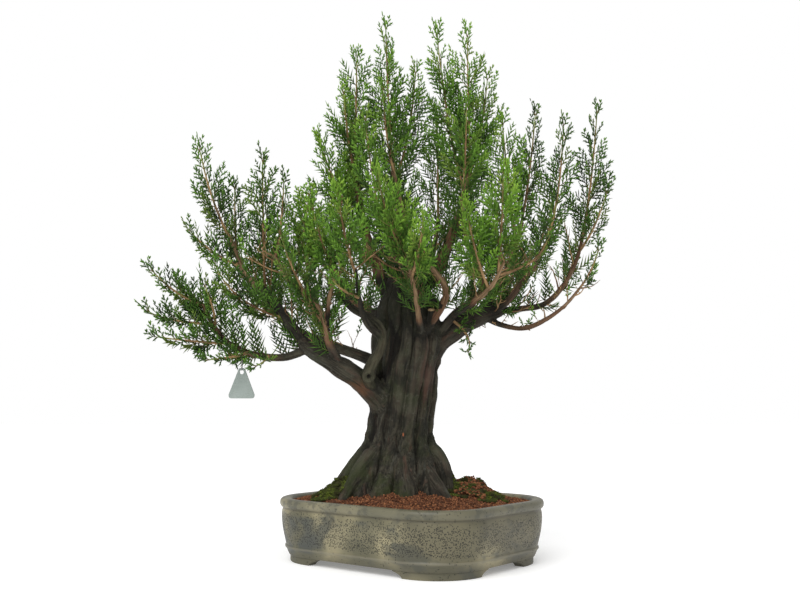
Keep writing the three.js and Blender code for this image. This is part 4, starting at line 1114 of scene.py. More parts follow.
# A deep hollow runs up the trunk beside the S-shaped limb.
HOLLOW = [(-44, -30, 232), (-33, -30, 254), (-24, -30, 278), (-21, -30, 302), (-30, -30, 324)]
HOLLOW_DEPTH = 7.0
HOLLOW_WIDTH = 6.5
in_front = np.flatnonzero(on_trunk & (skin_points[:, 1] < -8) & (skin_points[:, 2] > 220) & (skin_points[:, 2] < 345))
hollow_run = spaced(HOLLOW, step=4.0)[:, [0, 2]]
from_hollow = np.full(len(skin_points), 1000.0)
from_hollow[in_front] = np.min(
    np.linalg.norm(skin_points[in_front][:, None, [0, 2]] - hollow_run[None], axis=2), axis=1)
fading = np.clip((skin_points[:, 2] - 226) / 26, 0, 1) * np.clip((334 - skin_points[:, 2]) / 40, 0, 1)
relief -= HOLLOW_DEPTH * fading * np.exp(-((from_hollow / HOLLOW_WIDTH) ** 2))

# A knot stands at the foot of that limb: a ring of bark round a dead core.
KNOT = np.array([-55.5, -59.0, 245.0])
from_knot = np.linalg.norm(skin_points - KNOT, axis=1)
relief += 2.9 * np.exp(-((from_knot - 6.2) / 2.6) ** 2) - 4.6 * np.exp(-((from_knot / 3.0) ** 2))

wood.data.update()
normals = np.empty(len(skin_points) * 3)
wood.data.vertex_normals.foreach_get("vector", normals)
set_points(wood, (skin_points + normals.reshape(-1, 3) * relief[:, None]) * MM + np.array(POT_MIDDLE))
# The stored hollow value is the relief height: the bark colour lightens its ridges as a painted highlight and darkens
# its hollows as painted shade.
for name, value in (("girth", girth), ("hollow", relief / (3.0 * np.maximum(stout, 0.2))), ("bole", of_trunk)):
    stored = wood.data.attributes.new(name, "FLOAT", "POINT")
    stored.data.foreach_set("value", value.astype(np.float32))
stored = wood.data.attributes.new("grain", "FLOAT_VECTOR", "POINT")
stored.data.foreach_set("vector", grain_place.astype(np.float32).ravel())
use_modifier(wood, "DECIMATE", ratio=0.36)
hold(wood)
bpy.ops.object.shade_smooth()
print("bark:", len(wood.data.polygons), "faces")

# %% [markdown]
# Old arborvitae bark is dark grey-brown, with red-brown strips where it has peeled, and
# green algae where rain runs down. Limbs thinner than a finger are smooth and cinnamon, and
# the twigs are tan. So the colour follows the girth that was stored on the points, and the
# streaks follow the grain.

# %% Bark colours
bark = Finish("arborvitae_bark", Specular_IOR_Level=0.25)
grain = bark.attribute("grain", output=1)
thick = bark.attribute("girth")
hollow = bark.attribute("hollow")
bole = bark.attribute("bole")
where = bark.object_place()
fibre = bark.noise(bark.stretch(grain, (0.55, 0.55, 0.035)), 1.0, detail=5.0, rough=0.62)
streak = bark.noise(bark.stretch(grain, (0.13, 0.13, 0.009)), 1.0, detail=4.0, rough=0.6)
patch = bark.noise(where, 26.0, detail=4.0)
algae = bark.noise(where, 15.0, detail=4.0, rough=0.65)
old = bark.mix(fibre.ramp(0.30, 0.72), (0.007, 0.006, 0.0045), (0.056, 0.050, 0.034))
old = bark.mix(streak.ramp(0.56, 0.70) * 0.55, old, (0.085, 0.042, 0.029))
old = bark.mix((1 - streak).ramp(0.55, 0.70) * 0.55, old, (0.077, 0.079, 0.064))
old = bark.mix(algae.ramp(0.44, 0.62) * 0.65, old, (0.027, 0.033, 0.014))
fleck = bark.noise(where, 260.0, detail=3.0)
old = bark.mix(fleck.ramp(0.56, 0.68) * 0.35, old, (0.098, 0.094, 0.075))
blotch = bark.noise(where, 48.0, detail=3.0)
old = bark.mix(blotch.ramp(0.50, 0.62) * 0.55, old, (0.009, 0.009, 0.007))
red_from = bark.add(
    "ShaderNodeVectorMath", {"operation": "DISTANCE"},
    {0: bark.stretch(where, (1.0, 0.6, 0.3)), 1: tuple(spot(22, -26, 246) * Vector((1, 0.6, 0.3)))}, output=1)
old = bark.mix((1 - red_from.ramp(0.007, 0.020)) * streak.ramp(0.44, 0.60) * 0.45, old, (0.088, 0.038, 0.029))
peel_from = bark.add("ShaderNodeVectorMath", {"operation": "DISTANCE"}, {0: where, 1: tuple(spot(-74, -50, 226))}, output=1)
old = bark.mix((1 - peel_from.ramp(0.008, 0.024)) * streak.ramp(0.40, 0.56) * 0.7, old, (0.130, 0.063, 0.031))
# Raised ridges of the relief are lightened as a painted highlight.
ridge_highlight = bark.mix(blotch.ramp(0.4, 0.6), (0.086, 0.080, 0.056), (0.070, 0.050, 0.036))
old = bark.mix(hollow.ramp(0.45, 1.5) * 0.42, old, ridge_highlight)
old = bark.mix(bole.ramp(1.15, 1.7) * 0.5, old, bark.mix(fibre.ramp(0.35, 0.65), (0.020, 0.021, 0.011), (0.078, 0.076, 0.044)))
level = bark.add("ShaderNodeSeparateXYZ", None, {0: where}, output=2)
# The bark is painted darker from about 270 mm up, as shade under the crown.
old = bark.mix(level.ramp(0.27, 0.36) * 0.55, old, (0.010, 0.009, 0.007))
damp_foot = 1 - level.ramp(0.092, 0.165)
old = bark.mix(damp_foot * algae.ramp(0.46, 0.60) * 0.6, old, (0.028, 0.036, 0.009))
slim = bark.mix(fibre.ramp(0.3, 0.7), (0.115, 0.070, 0.038), (0.345, 0.226, 0.124))
young = bark.mix(fibre.ramp(0.3, 0.7), (0.080, 0.040, 0.023), (0.205, 0.112, 0.062))
young = bark.mix(patch.ramp(0.5, 0.66) * 0.6, young, (0.150, 0.070, 0.036))
young = bark.mix((1 - patch).ramp(0.52, 0.66) * 0.5, young, (0.175, 0.135, 0.092))
young = bark.mix((thick + bole * 6.0 + (patch - 0.5) * 3.0).ramp(3.4, 5.4), slim, young)
age = (thick + bole * 12.0 + (patch - 0.5) * 7.0).ramp(6.3, 10.5)
rind = bark.mix(age, young, old)
# Sunken relief, the deep hollow and the knot's core are painted near black as shade.
rind = bark.mix((0 - hollow).ramp(0.0, 0.6) * 0.8, rind, (0.008, 0.007, 0.006))
scar_place = bark.stretch(where, (1.0, 0.5, 0.35))
scar_middle = spot(-10.5, -40, 169)
scar_middle = (scar_middle.x, scar_middle.y * 0.5, scar_middle.z * 0.35)
scar_from = bark.add("ShaderNodeVectorMath", {"operation": "DISTANCE"}, {0: scar_place, 1: scar_middle}, output=1)
rind = bark.mix(1 - scar_from.ramp(0.0005, 0.0013), rind, (0.330, 0.100, 0.042))
cut_from = bark.add("ShaderNodeVectorMath", {"operation": "DISTANCE"}, {0: where, 1: tuple(spot(27, -37.5, 337))}, output=1)
rind = bark.mix(1 - cut_from.ramp(0.0052, 0.0066), rind, (0.520, 0.360, 0.190))
bark.wear(rind, 0.82 + fibre * 0.15, fibre * 0.7 + streak * 0.3, depth=0.0016)
finish_piece(wood, "bark", bark.material, ["wood"])

# %% [markdown]
# ## Moss
#
# Moss has settled on the soil at both sides of the roots. A cushion is a low dome, which
# the solid gives already, and its surface is made of tiny upright shoots. The dome is
# copied and rounded, and then tufts of five pointed leaflets are planted on it and, more
# thinly, on the soil around it, because a cushion has no sharp border.

# %% Copies of solids
def copy_of_solid(name):
    """A copy of a solid's mesh as a new piece, with its doubled points merged."""
    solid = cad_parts[name]
    mesh = solid.data.copy()
    mesh.transform(solid.matrix_world)
    made = bpy.data.objects.new(name + "_shape", mesh)
    bpy.context.scene.collection.objects.link(made)
    hold(made)
    if mesh.has_custom_normals:
        bpy.ops.mesh.customdata_custom_splitnormals_clear()
    tidy_normals(made)
    return made


print("solids can be copied")

# %% A tuft of moss
LEAFLETS = 5

leaflets = []
for step in range(LEAFLETS):
    around = 2 * math.pi * step / LEAFLETS
    deselect()
    bpy.ops.mesh.primitive_cone_add(vertices=3, radius1=0.17, radius2=0, depth=1.0, location=(0, 0, 0.5))
    bpy.ops.transform.rotate(value=math.radians(27), orient_axis="Y", center_override=(0, 0, 0))
    bpy.ops.transform.rotate(value=around, orient_axis="Z", center_override=(0, 0, 0))
    place_in_mesh(bpy.context.object)
    leaflets.append(bpy.context.object)
hold(*leaflets)
bpy.ops.object.join()
tuft = Shape(bpy.context.object)
print("a tuft has", len(tuft.triangles), "faces")

# %% Cushions and tufts
MOSS_BEDS = {
    "moss_left": (-98, -34, 36, 26, 3.0),
    "moss_right": (86, -30, 44, 34, 4.0),
}
TUFTS = 1300
MOSS_CLIMB = 112
BARE_MOSS = 0.20
bark_tree = tree_of(wood)

moss_leaf = Finish("moss_green", Specular_IOR_Level=0.2)
where = moss_leaf.object_place()
moss_patch = moss_leaf.noise(where, 70.0, detail=3.0)
moss_tone = moss_leaf.attribute("tone") * 0.55 + (moss_patch - 0.5) * 1.7 + 0.17
moss_stops = [(0.0, (0.026, 0.019, 0.009)), (0.45, (0.046, 0.054, 0.012)), (0.75, (0.090, 0.120, 0.016)), (1.0, (0.220, 0.260, 0.036))]
moss_colour = moss_leaf.add("ShaderNodeValToRGB", {"stops": moss_stops}, {0: moss_tone})
moss_leaf.wear(moss_colour, 0.8 + moss_patch * 0.15, moss_patch, depth=0.0004)

for name, (x, y, reach_x, reach_y, lift) in MOSS_BEDS.items():
    cushion = copy_of_solid(name)
    use_modifier(cushion, "SUBSURF", levels=2, render_levels=2)
    cushion_tree = tree_of(cushion)
    away = np.sqrt(rng.random(TUFTS * 2))
    around = rng.uniform(0, 2 * math.pi, TUFTS * 2)
    tuft_x = x + reach_x * away * np.cos(around)
    tuft_y = y + reach_y * away * np.sin(around)
    planted = []
    for px, py, far in zip(tuft_x, tuft_y, away):
        above = spot(px, py, 180)
        hit = cushion_tree.ray_cast(above, DOWN)[0]
        root = bark_tree.ray_cast(above, DOWN)[0]
        cover = noise.noise((px / 11, py / 11, lift)) + 0.35 - 0.9 * max(0.0, far - 0.45)
        if cover < (0 if hit is None else BARE_MOSS) or (name == "moss_right" and bare_mound(px, py)):
            continue
        place = hit or spot(px, py, float(soil_height(px, py)) + 0.3)
        if root is not None and root.z > place.z:
            if root.z > MOSS_CLIMB * MM or cover < 0.1:
                continue
            place = root
        planted.append(place)
    planted = np.array(planted[:TUFTS])
    turns = rng.uniform(0, 2 * math.pi, len(planted))
    spin = np.zeros((len(planted), 3, 3))
    spin[:, 0, 0] = spin[:, 1, 1] = np.cos(turns)
    spin[:, 0, 1], spin[:, 1, 0] = -np.sin(turns), np.sin(turns)
    spin[:, 2, 2] = 1
    sizes = rng.uniform(2.0, 4.6, len(planted)) * MM
    placed = np.einsum("nij,pj->npi", spin, tuft.points * np.array([1.5, 1.5, 1.0]))
    growth = Heap("tone")
    growth.add(placed * sizes[:, None, None] + planted[:, None, :], tuft.triangles, tone=rng.random(len(planted)))
    tufts = growth.piece(name + "_tufts")
    tone = cushion.data.attributes.new("tone", "FLOAT", "POINT")
    tone.data.foreach_set("value", np.full(len(cushion.data.vertices), 0.1, dtype=np.float32))
    hold(cushion)
    bpy.ops.object.shade_smooth()
    hold(tufts, cushion)
    bpy.ops.object.join()
    finish_piece(bpy.context.object, name + "_green", moss_leaf.material, [name])

# %% [markdown]
# ## Leafy stems
#
# Every leafy stem leaves its limb and bends up towards the light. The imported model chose
# for each stem how far it swings out before it rises, so that stems stay clear of each
# other. The same few bends are tried here, and the one that lies in the middle of the
# solid's stem is kept.

# %% Stems
SHOOTS = [
    ("left_low", 0.96, -335, -95, 383), ("left_low", 0.80, -347, -62, 332),
    ("left_low", 0.62, -316, -128, 294), ("left_low", 0.52, -256, -138, 264),
    ("left_low", 0.99, -312, -40, 376), ("left_low", 0.90, -262, -120, 362),
    ("left_low", 0.30, -196, -122, 256), ("left_out", 0.98, -283, -60, 555),
    ("left_out", 0.60, -299, -40, 444), ("left_stub", 0.92, -194, -88, 540),
    ("left_out", 0.82, -243, -5, 512), ("left_rise", 0.97, -163, -110, 500),
    ("left_rise", 0.76, -135, -55, 496), ("left_stub", 0.60, -250, -118, 392),
    ("left_fork", 0.62, -125, -140, 458), ("top_left", 0.55, -129, -20, 582),
    ("top_left", 0.88, -92, -50, 636), ("top_left", 0.98, -75, 5, 706),
    ("top_centre", 0.98, -35, -20, 741), ("top_centre", 0.80, 8, 30, 694),
    ("top_right", 0.78, 34, -22, 736), ("top_right", 0.98, 77, -30, 728),
    ("top_right", 0.90, 110, 14, 680), ("right_rise", 0.80, 122, -50, 596),
    ("right_rise", 0.98, 176, 10, 628), ("right_mid", 0.98, 209, -28, 604),
    ("right_far", 0.98, 255, -30, 622), ("right_far", 0.80, 259, -66, 492),
    ("right_low", 0.97, 240, -98, 408), ("right_mid", 0.76, 188, -98, 474),
    ("front_far_right", 0.62, 66, -142, 462), ("front_far_right", 0.90, 114, -146, 506),
    ("front_far_right", 0.99, 170, -138, 432), ("front_far_left", 0.66, -96, -172, 360),
    ("front_right", 0.13, 73, -66, 276), ("front_middle", 0.96, -44, -168, 496),
    ("front_middle", 0.78, 14, -186, 436), ("front_far_left", 0.97, -92, -168, 476),
    ("left_rise", 0.56, -162, -172, 424), ("front_centre", 0.98, -38, -56, 640),
    ("front_right", 0.98, 74, -62, 618), ("front_left", 0.97, -62, -80, 596),
    ("left_back", 0.98, -262, 70, 438), ("left_back", 0.80, -216, 130, 470),
    ("left_back_rise", 0.97, -152, 168, 548), ("back_left", 0.97, -84, 124, 640),
    ("back_centre", 0.98, -22, 190, 572), ("back_centre", 0.72, -92, 214, 462),
    ("top_back", 0.98, 42, 134, 660), ("right_back", 0.97, 212, 122, 524),
    ("right_back", 0.72, 148, 190, 470), ("top_back", 0.70, 118, 136, 594),
    ("right_far", 0.55, 238, 72, 430),
]

# Ways to bend a stem: share of the way out at its elbow, share of the rise, shift sideways.
ELBOWS = [
    (0.62, 0.34, 0), (0.62, 0.34, 10), (0.62, 0.34, -10), (0.8, 0.3, 0), (0.4, 0.45, 0),
    (0.7, 0.2, 16), (0.7, 0.2, -16), (0.3, 0.6, 14), (0.3, 0.6, -14), (0.9, 0.2, 22),
    (0.9, 0.2, -22), (0.5, 0.5, 26), (0.5, 0.5, -26),
]
SLIDES = [0, -0.05, 0.02, -0.1, -0.16]


def stem_points(start, bend, tip, shares):
    """Places on a stem's curve at shares of its way."""
    t = np.asarray(shares, dtype=float)[:, None]
    return (1 - t) ** 2 * start + 2 * t * (1 - t) * bend + t**2 * tip


def find_stem(name, limb, share, tip):
    """The bend whose curve runs through the solid's stem: start, elbow, tip and limb radius."""
    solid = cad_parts[name]
    tree = tree_of(solid, solid.matrix_world)
    found = []
    for slide in SLIDES:
        start, radius = limb_at(limb, min(share + slide, 1))
        way = tip - start
        sideways = np.array([-way[1], way[0], 0]) / math.hypot(way[0], way[1])
        for out, rise, shift in ELBOWS:
            bend = start + way * np.array([out, out, rise]) + sideways * shift
            tests = stem_points(start, bend, tip, np.linspace(0.15, 0.97, 9))
            miss = max(tree.find_nearest(spot(*test))[3] for test in tests)
            found.append((miss, len(found), start, bend, tip, radius))
    return min(found, key=lambda item: item[:2])


stems = []
for number, (limb, share, *tip) in enumerate(SHOOTS, start=1):
    stems.append(find_stem(f"leafy_shoot_{number:02d}", limb, share, np.array(tip, dtype=float)))
print("stems:", len(stems), "farthest from its solid:", round(max(stem[0] for stem in stems) * 1000, 2), "mm")

# %% [markdown]
# A twig of this tree is covered with scale leaves that lie flat on it, so what the eye sees
# is a blunt flat finger about two millimetres wide, and the longer ones carry short side
# fingers. One finger is a stub on three edges whose top is pulled up to a point. Side
# fingers are small cones set into it. Three patterns are made for the outer fronds: plain,
# with two side fingers and with four. The crowded inner fronds get a broad cone.

# %% Fingers
FINGER = 12.0
BELLY = 0.68
FOOT = 0.66


def make_finger(side_places, half_width=1.25):
    """A finger along +Z, flat in Y, with side fingers at shares of its length."""
    deselect()
    depth = FINGER * BELLY
    bpy.ops.mesh.primitive_cone_add(vertices=3, radius1=FOOT, radius2=1.0, depth=depth, location=(0, 0, depth / 2))
    finger = bpy.context.object
    place_in_mesh(finger)
    mesh = edit(finger)
    for face in mesh.faces:
        if all(abs(corner.co.z - depth) < 1e-4 for corner in face.verts):
            face.select_set(True)
    bpy.ops.mesh.extrude_region_move(TRANSFORM_OT_translate={"value": (0, 0, FINGER - depth)})
    bpy.ops.mesh.merge(type="CENTER")
    bpy.ops.object.mode_set(mode="OBJECT")
    finger.scale = (half_width, 0.70, 1)
    place_in_mesh(finger)
    parts = [finger]
    for k, share in enumerate(side_places):
        tilt = math.radians(46) * (1 if k % 2 else -1)
        length = 5.2 - 1.6 * share
        deselect()
        bpy.ops.mesh.primitive_cone_add(vertices=3, radius1=0.88, radius2=0, depth=length, location=(0, 0, length / 2))
        bpy.ops.transform.resize(value=(1, 0.55, 1))
        bpy.ops.transform.rotate(value=tilt, orient_axis="Y", center_override=(0, 0, 0))
        bpy.ops.transform.translate(value=(0, 0, share * FINGER))
        place_in_mesh(bpy.context.object)
        parts.append(bpy.context.object)
    hold(*parts)
    if side_places:
        bpy.ops.object.join()
    shape = Shape(bpy.context.object)
    shape.points[:, 2] /= FINGER
    return shape


plain_finger = make_finger([], half_width=1.15)
forked_finger = make_finger([0.28, 0.52])
full_finger = make_finger([0.18, 0.34, 0.50, 0.66])
deselect()
bpy.ops.mesh.primitive_cone_add(vertices=3, radius1=1.0, radius2=0, depth=1.0, location=(0, 0, 0.5))
bpy.context.object.scale = (1.5, 0.8, 1)
place_in_mesh(bpy.context.object)
broad_finger = Shape(bpy.context.object)
print("faces of a finger:", [len(s.triangles) for s in (plain_finger, broad_finger, forked_finger, full_finger)])

# %% [markdown]
# A frond is a rib with fingers on both sides in one plane, longest a third of the way up,
# like a small fern. It leaves the stem at an angle and curls up. Fronds follow each other
# round the stem by the golden angle, as buds do, so none shades the next. Their length
# swells and shrinks along the stem, which gives each plume its flame shape. Three values
# go with every point: how young it is, with painted light and shade for its whole plume in
# the same value, a tone that changes from frond to frond, and how woody it is.

# %% Fronds
RIB_PLACES = np.linspace(0, 1, 5)
FINGER_PITCH = 3.2
FINGER_SHARES = [0, 0.12, 0.38, 0.75, 1.0]
FINGER_LENGTHS = [0.50, 0.85, 1.00, 0.74, 0.52]
RIB_SIDES = 3


def unit(vectors):
    return vectors / np.linalg.norm(vectors, axis=-1, keepdims=True)


def rib_faces():
    """Faces of a rib: three-sided rings, a closed foot and a point at the tip."""
    faces = [(0, 2, 1)]
    last = len(RIB_PLACES) - 2
    for ring in range(last):
        for k in range(RIB_SIDES):
            a, b = ring * RIB_SIDES + k, ring * RIB_SIDES + (k + 1) % RIB_SIDES
            faces += [(a, b, b + RIB_SIDES), (a, b + RIB_SIDES, a + RIB_SIDES)]
    tip = (last + 1) * RIB_SIDES
    faces += [(last * RIB_SIDES + k, last * RIB_SIDES + (k + 1) % RIB_SIDES, tip) for k in range(RIB_SIDES)]
    return np.array(faces)


RIB_FACES = rib_faces()
RIB_CORNERS = np.radians([90, 210, 330])


def add_frond(heap, base, out, normal, reach, detail, youth, draw):
    """One frond: its rib and its fingers."""
    up = np.array([0, 0, 1.0])
    normal = unit(normal - out * normal.dot(out))
    curl = 0.5 * (0.75 * up - 0.35 * out) + 0.10 * draw.normal() * normal
    path = base + reach * (RIB_PLACES[:, None] * out + RIB_PLACES[:, None] ** 2 * curl)
    ahead = unit(out + 2 * RIB_PLACES[:, None] * curl)
    flat = unit(np.cross(normal, ahead))
    tone = draw.random()
    radii = 0.75 - 0.45 * RIB_PLACES[:-1]
    corners = np.cos(RIB_CORNERS)[None, :, None] * flat[:-1, None] + np.sin(RIB_CORNERS)[None, :, None] * normal
    rings = path[:-1, None] + corners * radii[:, None, None]
    rib = np.vstack([rings.reshape(-1, 3), path[-1:]])
    woody = np.concatenate([np.repeat(0.75 - 0.85 * RIB_PLACES[:-1], RIB_SIDES), [0]]).clip(0, 1)
    heap.add(rib, RIB_FACES, youth=np.full(len(rib), youth), tone=np.full(len(rib), tone), woody=woody)

    marks = np.arange(3.0 + 2 * draw.random(), reach, FINGER_PITCH) / reach
    marks = np.concatenate([marks, [0.995]])
    points = np.stack([np.interp(marks, RIB_PLACES, path[:, k]) for k in range(3)], axis=1)
    ahead = unit(np.stack([np.interp(marks, RIB_PLACES, ahead[:, k]) for k in range(3)], axis=1))
    flat = unit(np.cross(normal, ahead))
    hand = np.where(np.arange(len(marks)) % 2, 1.0, -1.0)
    fan = np.radians(41 - 10 * marks + draw.normal(size=len(marks)) * 7)
    fan[-1] = 0
    way = np.cos(fan)[:, None] * ahead + (hand * np.sin(fan))[:, None] * flat
    way = unit(way + 0.13 * draw.normal(size=len(marks))[:, None] * normal + 0.06 * up)
    lengths = np.interp(marks, FINGER_SHARES, FINGER_LENGTHS) * min(17.5, 0.36 * reach + 4)
    lengths = np.maximum(lengths * draw.uniform(0.62, 1.25, len(marks)), 5.0)
    across = unit(np.cross(normal, way))
    over = np.cross(way, across)
    young = np.clip(youth + 0.30 * marks - 0.12 + 0.10 * draw.normal(size=len(marks)), 0, 1)
    if detail:
        groups = [(full_finger, lengths > 10.5), (forked_finger, (lengths <= 10.5) & (lengths > 6.5)),
                  (plain_finger, lengths <= 6.5)]
    else:
        groups = [(broad_finger, lengths > 0)]
    for shape, chosen in groups:
        if not chosen.any():
            continue
        x, y, z = shape.points.T
        placed = (points[chosen, None] + x[None, :, None] * across[chosen, None]
                  + y[None, :, None] * over[chosen, None]
                  + (z[None] * lengths[chosen, None])[:, :, None] * way[chosen, None])
        copies = (int(chosen.sum()), len(x))
        heap.add(
            placed,
            shape.triangles,
            youth=np.clip(young[chosen, None] + 0.25 * (z[None] - 0.5), 0, 1),
            tone=np.full(copies, tone),
            woody=np.zeros(copies),
        )


# %% Plumes
STEM_ROOT_RADIUS = 2.2
STEM_TIP_RADIUS = 0.7
STEM_END = 0.93
GOLDEN_ANGLE = math.radians(137.5)
PITCH_SHARES = [0, 0.3, 0.6, 0.8, 1.0]
PITCHES = [3.2, 3.0, 4.0, 5.8, 7.4]
FROND_SHARES = [0, 0.12, 0.35, 0.60, 0.80, 0.93, 1.0]
FROND_LENGTHS = [34, 46, 50, 42, 31, 23, 14]
DETAIL_SHARE = 0.85


def grow_plume(heap, start, bend, tip, limb_radius, openness, plume_light, breadth, draw):
    """A stem with its fronds."""
    fine = stem_points(start, bend, tip, np.linspace(0, STEM_END, 61))
    along = np.concatenate([[0], np.cumsum(np.linalg.norm(np.diff(fine, axis=0), axis=1))])
    length = along[-1]
    marks = np.linspace(0, length, max(8, round(length / 9)) + 1)
    run = np.stack([np.interp(marks, along, fine[:, k]) for k in range(3)], axis=1)
    share = marks / length
    foot_radius = min(STEM_ROOT_RADIUS, 0.8 * limb_radius)
    points, triangles = tube(run, foot_radius + (STEM_TIP_RADIUS - foot_radius) * share, 5)
    woody = np.clip(1.5 - 1.1 * share, 0, 1)
    woody = np.concatenate([np.repeat(woody, 5), woody[:1], woody[-1:]])
    still = np.ones(len(points))
    heap.add(points, triangles, youth=0.5 * still, tone=draw.random() * still, woody=woody)

    way, side, up = frames(fine)
    at = 0.85 * (limb_radius + max(8, 0.12 * length))
    size = min(1.0, max(0.4, length / 140))
    count = 0
    while at < length - 2:
        share = at / length
        here, ahead, left, over = (
            np.array([np.interp(at, along, table[:, k]) for k in range(3)]) for table in (fine, way, side, up))
        bearing = count * GOLDEN_ANGLE + 0.35 * draw.normal()
        radial = math.cos(bearing) * left + math.sin(bearing) * over
        lift = math.radians(np.interp(share, [0, 0.5, 1], [62, 50, 30]) + 6 * draw.normal())
        out = unit(math.cos(lift) * ahead + math.sin(lift) * radial)
        normal = unit(np.cross(out, ahead)) + 0.55 * draw.normal() * radial
        reach = np.interp(share, FROND_SHARES, FROND_LENGTHS) * draw.uniform(0.60, 1.20) * size * breadth
        detail = draw.random() < DETAIL_SHARE
        youth = (0.15 + 0.55 * share + 0.15 * detail) * plume_light
        add_frond(heap, here, out, normal, reach, detail, youth, draw)
        at += np.interp(share, PITCH_SHARES, PITCHES) * openness * draw.uniform(0.55, 1.45)
        count += 1
    for step in range(3):
        radial = math.cos(2.1 * step) * side[-1] + math.sin(2.1 * step) * up[-1]
        out = unit(way[-1] + 0.45 * radial)
        add_frond(heap, fine[-1], out, np.cross(out, way[-1]), draw.uniform(12, 20), True, 0.8 * plume_light, draw)
    return count + 3


# %% [markdown]
# Inside the crown the limbs carry short sprays of their own, and these close the view
# between the plumes. They stand on the upper limbs only, because the lower ones are bare.

# %% Growing all leaves
BARE_LIMBS = {"left_main", "right_main", "right_low", "front_stub"}
SPRAY_PITCH = 4.8
SPRAY_FLOOR = 325.0
LEFT_FLOOR = 262.0
LEFT_SIDE = -100.0
BARE_SHARE = 0.31

shoots_of_limb = {}
for number, (limb, *_) in enumerate(SHOOTS, start=1):
    shoots_of_limb.setdefault(limb, []).append(number)
plumes = {}
fronds = 0
for number, (_, _, start, bend, tip, limb_radius) in enumerate(stems, start=1):
    plumes[number] = Heap("youth", "tone", "woody")
    # The middle value of each plume scales the youth of its leaves and so their brightness. It is painted light and
    # shade: the front plumes are brightest, and plumes at the left and right edges and low down are painted darkest.
    openness, plume_light, breadth = 0.72, 1.0 if tip[1] < -10 else 0.85, 1.0
    if tip[0] > 150 or tip[2] > 590:
        openness, plume_light, breadth = 1.20, 0.78, 0.92
        if tip[0] > 150:
            openness, plume_light, breadth = 1.15, 0.10, 0.74
    elif tip[0] < -230 and tip[2] < 460:
        openness, plume_light, breadth = 0.72, 0.18, 0.90
    elif tip[0] < -150:
        openness, plume_light, breadth = 0.92, 0.30, 0.80
    elif tip[2] < 380:
        openness, plume_light, breadth = 1.2, 0.15 if tip[2] < 300 else 0.5, 1.0
    draw = np.random.default_rng(100 + number)
    fronds += grow_plume(plumes[number], start, bend, tip, limb_radius, openness, plume_light, breadth, draw)

sprays = 0
for limb, (start_radius, end_radius, *places) in LIMBS.items():
    if limb in BARE_LIMBS or limb not in shoots_of_limb:
        continue
    draw = np.random.default_rng(len(limb) + 40)
    run = spaced(places, step=SPRAY_PITCH * (0.5 if limb == "left_low" else 1))
    way, side, up = frames(run)
    for k in range(2, len(run)):
        floor_height = LEFT_FLOOR if run[k][0] < LEFT_SIDE else SPRAY_FLOOR
        bearing = k * GOLDEN_ANGLE + draw.normal()
        radial = math.cos(bearing) * side[k] + math.sin(bearing) * up[k]
        bare = limb == "left_low" and k < BARE_SHARE * len(run) and (radial[2] < 0.2 or radial[1] < -0.3)
        outer = run[k][0] > 110 or (run[k][0] < -150 and limb != "left_low")
        thin = outer and k % 2
        if bare or thin or run[k][2] < floor_height:
            continue
        out = unit(0.5 * way[k] + radial + np.array([0, 0, 0.3]))
        owner = shoots_of_limb[limb][k % len(shoots_of_limb[limb])]
        reach = draw.uniform(30, 50)
        add_frond(plumes[owner], run[k], out, unit(np.cross(out, way[k])), reach, False, 0.12, draw)
        sprays += 1
print("fronds on stems:", fronds, "sprays on limbs:", sprays)

# %% [markdown]
# Where the limbs fork, last year's growth has left a tangle of fine bare twigs, paler than
# the limbs. Each is a thin tube that wanders a little, and carries two finer ones. Some
# still end in a small frond.

# %% Bare twigs
TWIG_PITCH = 13.0
TWIG_ZONE = (272.0, 405.0)
FRONT_TWIG_FLOOR = 345.0
TWIG_RUN = np.linspace(0, 1, 7)[:, None]


def add_twig(heap, base, out, length, radius, draw):
    """One wandering twig. Returns its run of places."""
    bend = 0.30 * unit(draw.normal(size=3)) + np.array([0, 0, 0.30])
    run = base + length * (TWIG_RUN * out + TWIG_RUN**2 * bend) + 0.025 * length * draw.normal(size=(7, 3)) * TWIG_RUN
    points, triangles = tube(run, radius * (1 - 0.65 * TWIG_RUN[:, 0]), 4)
    still = np.ones(len(points))
    heap.add(points, triangles, youth=0.4 * still, tone=draw.random() * still, woody=still)
    return run


twigs = 0
for limb, (start_radius, end_radius, *places) in LIMBS.items():
    if limb not in shoots_of_limb or limb == "left_low":
        continue
    draw = np.random.default_rng(len(limb) + 80)
    run = spaced(places, step=TWIG_PITCH)
    way, side, up = frames(run)
    for k in range(1, len(run)):
        low_front = limb.startswith("front") and run[k][2] < FRONT_TWIG_FLOOR
        if low_front or not TWIG_ZONE[0] < run[k][2] < TWIG_ZONE[1]:
            continue
        bearing = draw.uniform(0, 2 * math.pi)
        radial = math.cos(bearing) * side[k] + math.sin(bearing) * up[k]
        heap = plumes[shoots_of_limb[limb][k % len(shoots_of_limb[limb])]]
        out = unit(0.8 * way[k] + radial)
        reach = draw.uniform(9, 22) if limb == "right_low" else draw.uniform(20, 46)
        branch = add_twig(heap, run[k], out, reach, draw.uniform(0.9, 1.5), draw)
        for fork in (3, 5):
            turn_out = unit(branch[fork + 1] - branch[fork] + 2.5 * draw.normal(size=3))
            finer = add_twig(heap, branch[fork], turn_out, draw.uniform(0.3, 0.6) * reach, 0.65, draw)
            if draw.random() < 0.55:
                ahead = unit(finer[-1] - finer[-2])
                add_frond(heap, finer[-1], ahead, draw.normal(size=3), draw.uniform(11, 20), True, 0.55, draw)
        twigs += 3
print("bare twigs:", twigs)
